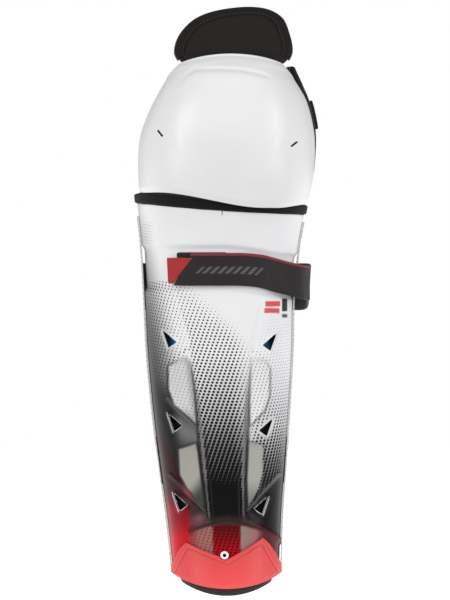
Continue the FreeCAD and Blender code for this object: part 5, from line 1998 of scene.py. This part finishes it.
def make_upper_strap():
    def web(t, z, v):
        edge = np.minimum(v, 1 - v) * 24.0
        return 3.1 - 0.35 * bump(2.2, 0.8, edge) + 0.12 * np.sin(t * 47.0) * np.sin(v * math.pi)
    front = strap_slab("upper_strap_front_webbing", STRAP_FACE, strap_front_path,
                       (slant(0.008), fixed(1.0)), (upper_low, upper_high), (1.5, web), (180, 40))
    fit(front, "upper_strap", ["upper_strap_front"], "strap_webbing")

    def cord(t, z, v):
        return 2.5 + 1.0 * np.sin(np.clip(v, 0, 1) * math.pi)

    def raised(line, lift):
        return lambda t: line(t) + lift
    piping = strap_slab("upper_strap_piping_cord", RED_TAPE, strap_front_path,
                        (fixed(0.190), fixed(1.0)), (raised(upper_high, 0.2), raised(upper_high, 2.4)),
                        (1.5, cord), (180, 10))
    fit(piping, "upper_strap", ["upper_strap_piping"], "red_piping")
    backing = strap_slab("upper_strap_backing_hook", PILE, strap_front_path,
                         (fixed(0.104), fixed(1.0)), (raised(upper_low, 0.4), raised(upper_high, 2.4)),
                         (0.3, 1.2), (120, 20), rim=4)
    fit(backing, "upper_strap", ["upper_strap_backing"], "hook_pile")
    tip = strap_slab("upper_strap_tip_tab", TIP_RED, strap_front_path,
                     (lambda v: mix(0.045, 0.041, v), slant(0.0)), (fixed(260.3), fixed(280.4)),
                     (1.5, 3.0), (40, 30))
    fit(tip, "upper_strap", ["upper_strap_tip"], "red_piping")
    lines = []
    for low in (True, False):
        t = span(0.098 if low else 0.206, 0.99, 300)
        v = np.full_like(t, 0.085 if low else 0.915)
        place = band_place(strap_front_path, fixed(0.0), fixed(1.0), upper_low, upper_high, 2.95)
        points, normals = surface_line(place, t, v)
        if normals[150][1] > 0:
            normals = -normals
        lines.append((points, normals))
    v = span(0.06, 0.94, 60)
    place = band_place(strap_front_path, slant(0.020), fixed(1.0), upper_low, upper_high, 3.0)
    points, normals = surface_line(place, np.full_like(v, 0.0), v)
    if normals[30][1] > 0:
        normals = -normals
    lines.append((points, normals))
    stitches = stitching("upper_strap_front_stitches", BLACK_THREAD, lines, 2.2, 3.1, 0.6, 0.45, 0.1)
    fit(stitches, "upper_strap", None, "strap_webbing")

    whole = (fixed(0.0), fixed(1.0))
    fold = strap_slab("upper_strap_fold_webbing", STRAP_PLAIN, fixed(UPPER_FOLD),
                      whole, (fixed(246.5), fixed(273.7)), (0.3, 3.1), (14, 40))
    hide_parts("upper_strap_fold")
    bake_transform(fold)

    def back_low(t):
        return mix(246.5, 238.0, ease(0.0, 0.3, t))

    def back_high(t):
        return mix(273.7, 276.0, ease(0.0, 0.3, t))
    elastic = strap_slab("upper_strap_elastic_band", ELASTIC, fixed(UPPER_BACK),
                         whole, (back_low, back_high), (0.3, 2.4), (240, 30),
                         level=UPPER_LEVEL, flare=UPPER_FLARE)
    fit(elastic, "shin", ["upper_strap_elastic"], "elastic")
    anchor = strap_slab("upper_strap_anchor_patch", BLACK_CLOTH, fixed(UPPER_ANCHOR),
                        whole, (fixed(238.0), fixed(276.0)), (0.0, 1.0), (12, 30), rim=4,
                        level=UPPER_LEVEL, flare=UPPER_FLARE)
    fit(anchor, "shin", ["upper_strap_anchor"], "black_fabric")
    bar_tack("upper_strap_anchor_stitches", UPPER_ANCHOR, 240.0, 274.0, 1.0, UPPER_LEVEL, UPPER_FLARE)


def bar_tack(name, path, low, high, lift, level, flare):
    """Two dense rows of stitches that sew an anchor down."""
    lines = []
    for t in (0.25, 0.75):
        v = span(0.04, 0.96, 160)
        place = band_place(fixed(path), fixed(0.0), fixed(1.0), fixed(low), fixed(high), lift, level, flare)
        points, normals = surface_line(place, np.full_like(v, t), v)
        if (normals[:, 0] * points[:, 0]).sum() < 0:
            normals = -normals
        lines.append((points, normals))
    fit(stitching(name, GREY_THREAD, lines, 1.5, 1.9, 0.8, 0.5, 0.08), "shin", None, "black_fabric")


def make_lower_strap():
    def piece(name, material, path, start, end, inner, outer, inset, count, rim=6):
        heights = (fixed(LOWER_LOW + inset), fixed(LOWER_HIGH - inset))
        return strap_slab(name, material, fixed(path), (fixed(start), fixed(end)), heights,
                          (inner, outer), (count, 36), rim, LOWER_LEVEL, LOWER_FLARE)
    elastic = piece("lower_strap_elastic_band", ELASTIC, LOWER_PATH, 0.095, 1.0, 0.6, 2.5, 0.0, 240)
    fit(elastic, "lower_strap", ["lower_strap_elastic"], "elastic")
    tip = piece("lower_strap_tip_tab", BLACK_CLOTH, LOWER_PATH, 0.0, 0.092, 0.6, 2.7, 2.0, 30)
    fit(tip, "lower_strap", ["lower_strap_tip"], "strap_webbing")
    fold = piece("lower_strap_fold_band", ELASTIC, LOWER_FOLD, 0.0, 1.0, 0.6, 2.5, 0.0, 14)
    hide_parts("lower_strap_fold")
    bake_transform(fold)
    anchor = piece("lower_strap_anchor_patch", BLACK_CLOTH, LOWER_ANCHOR, 0.0, 1.0, -0.3, 0.8, 0.0, 12, 4)
    fit(anchor, "shin", ["lower_strap_anchor"], "black_fabric")
    bar_tack("lower_strap_anchor_stitches", LOWER_ANCHOR, 93.0, 127.0, 0.8, LOWER_LEVEL, LOWER_FLARE)


make_shell()
make_backing()
make_bindings()
make_hem()
make_overlay()
make_eyelet()
make_patches()
make_liner()
make_liner_pads()
make_wings()
make_cap()
make_lashings()
make_knee_layers()
make_donut()
make_knee_wings()
make_bridge()
make_flap()
make_flap_hinge()
make_upper_strap()
make_lower_strap()


# ---------------------------------------------------------------- stage, light and camera
def make_stage():
    corners = [(-6.0, -0.1), (6.0, -0.1), (6.0, 6.0), (-6.0, 6.0)]
    mesh = bpy.data.meshes.new("studio_floor")
    mesh.from_pydata([(x, y, -0.004) for x, y in corners], [], [[0, 1, 2, 3]])
    g = Graph("studio_paper", 0.9, Emission_Color=(1.0, 1.0, 1.0, 1.0), Emission_Strength=1.0)
    g.colour(g.blend(g.noise(0.01), srgb(0.86, 0.86, 0.86), srgb(0.88, 0.88, 0.88)))
    mesh.materials.append(g.material)
    floor = bpy.data.objects.new("studio_floor", mesh)
    bpy.context.scene.collection.objects.link(floor)


def make_light(name, place, target, size, power):
    data = bpy.data.lights.new(name, "AREA")
    data.shape, data.size, data.size_y = "RECTANGLE", size[0], size[1]
    data.energy = power
    lamp = bpy.data.objects.new(name, data)
    bpy.context.scene.collection.objects.link(lamp)
    lamp.location = place
    lamp.rotation_euler = (Vector(target) - Vector(place)).to_track_quat("-Z", "Y").to_euler()


ROOM_LIGHT = 0.32


def make_lights():
    """A tall softbox on each side, one above, one in front, and a dim room."""
    middle = (0.0, 0.0, 0.25)
    make_light("softbox_left", (-1.8, -1.7, 0.75), middle, (1.2, 2.0), 27.0)
    make_light("softbox_right", (1.9, -1.5, 0.6), middle, (1.1, 2.0), 23.0)
    make_light("softbox_top", (0.0, -0.9, 2.2), middle, (1.8, 1.0), 5.5)
    make_light("softbox_front", (0.3, -3.6, 1.5), middle, (3.0, 1.6), 13.5)
    world = bpy.data.worlds.new("studio")
    bpy.context.scene.world = world
    world.use_nodes = True
    tree = world.node_tree
    seen = tree.nodes.new("ShaderNodeLightPath")
    level = tree.nodes.new("ShaderNodeMapRange")
    level.inputs["To Min"].default_value = ROOM_LIGHT
    level.inputs["To Max"].default_value = 1.0
    tree.links.new(seen.outputs["Is Camera Ray"], level.inputs["Value"])
    tree.nodes["Background"].inputs[0].default_value = (1.0, 1.0, 1.0, 1.0)
    tree.links.new(level.outputs[0], tree.nodes["Background"].inputs[1])


def make_camera():
    """Long lens, level with the guard's middle, square on to its front."""
    distance, seen = 6.0, 0.502
    data = bpy.data.cameras.new("camera")
    data.type = "PERSP"
    data.sensor_fit, data.sensor_height, data.sensor_width = "VERTICAL", 36.0, 36.0
    data.lens = 36.0 * distance / seen
    data.clip_start, data.clip_end = 0.05, 50.0
    camera = bpy.data.objects.new("camera", data)
    bpy.context.scene.collection.objects.link(camera)
    camera.location = (-0.0008, -0.04 - distance, 0.2457)
    camera.rotation_euler = (math.pi / 2, 0.0, 0.0)
    bpy.context.scene.camera = camera


make_stage()
make_lights()
make_camera()
bpy.context.scene.view_settings.view_transform = "Standard"
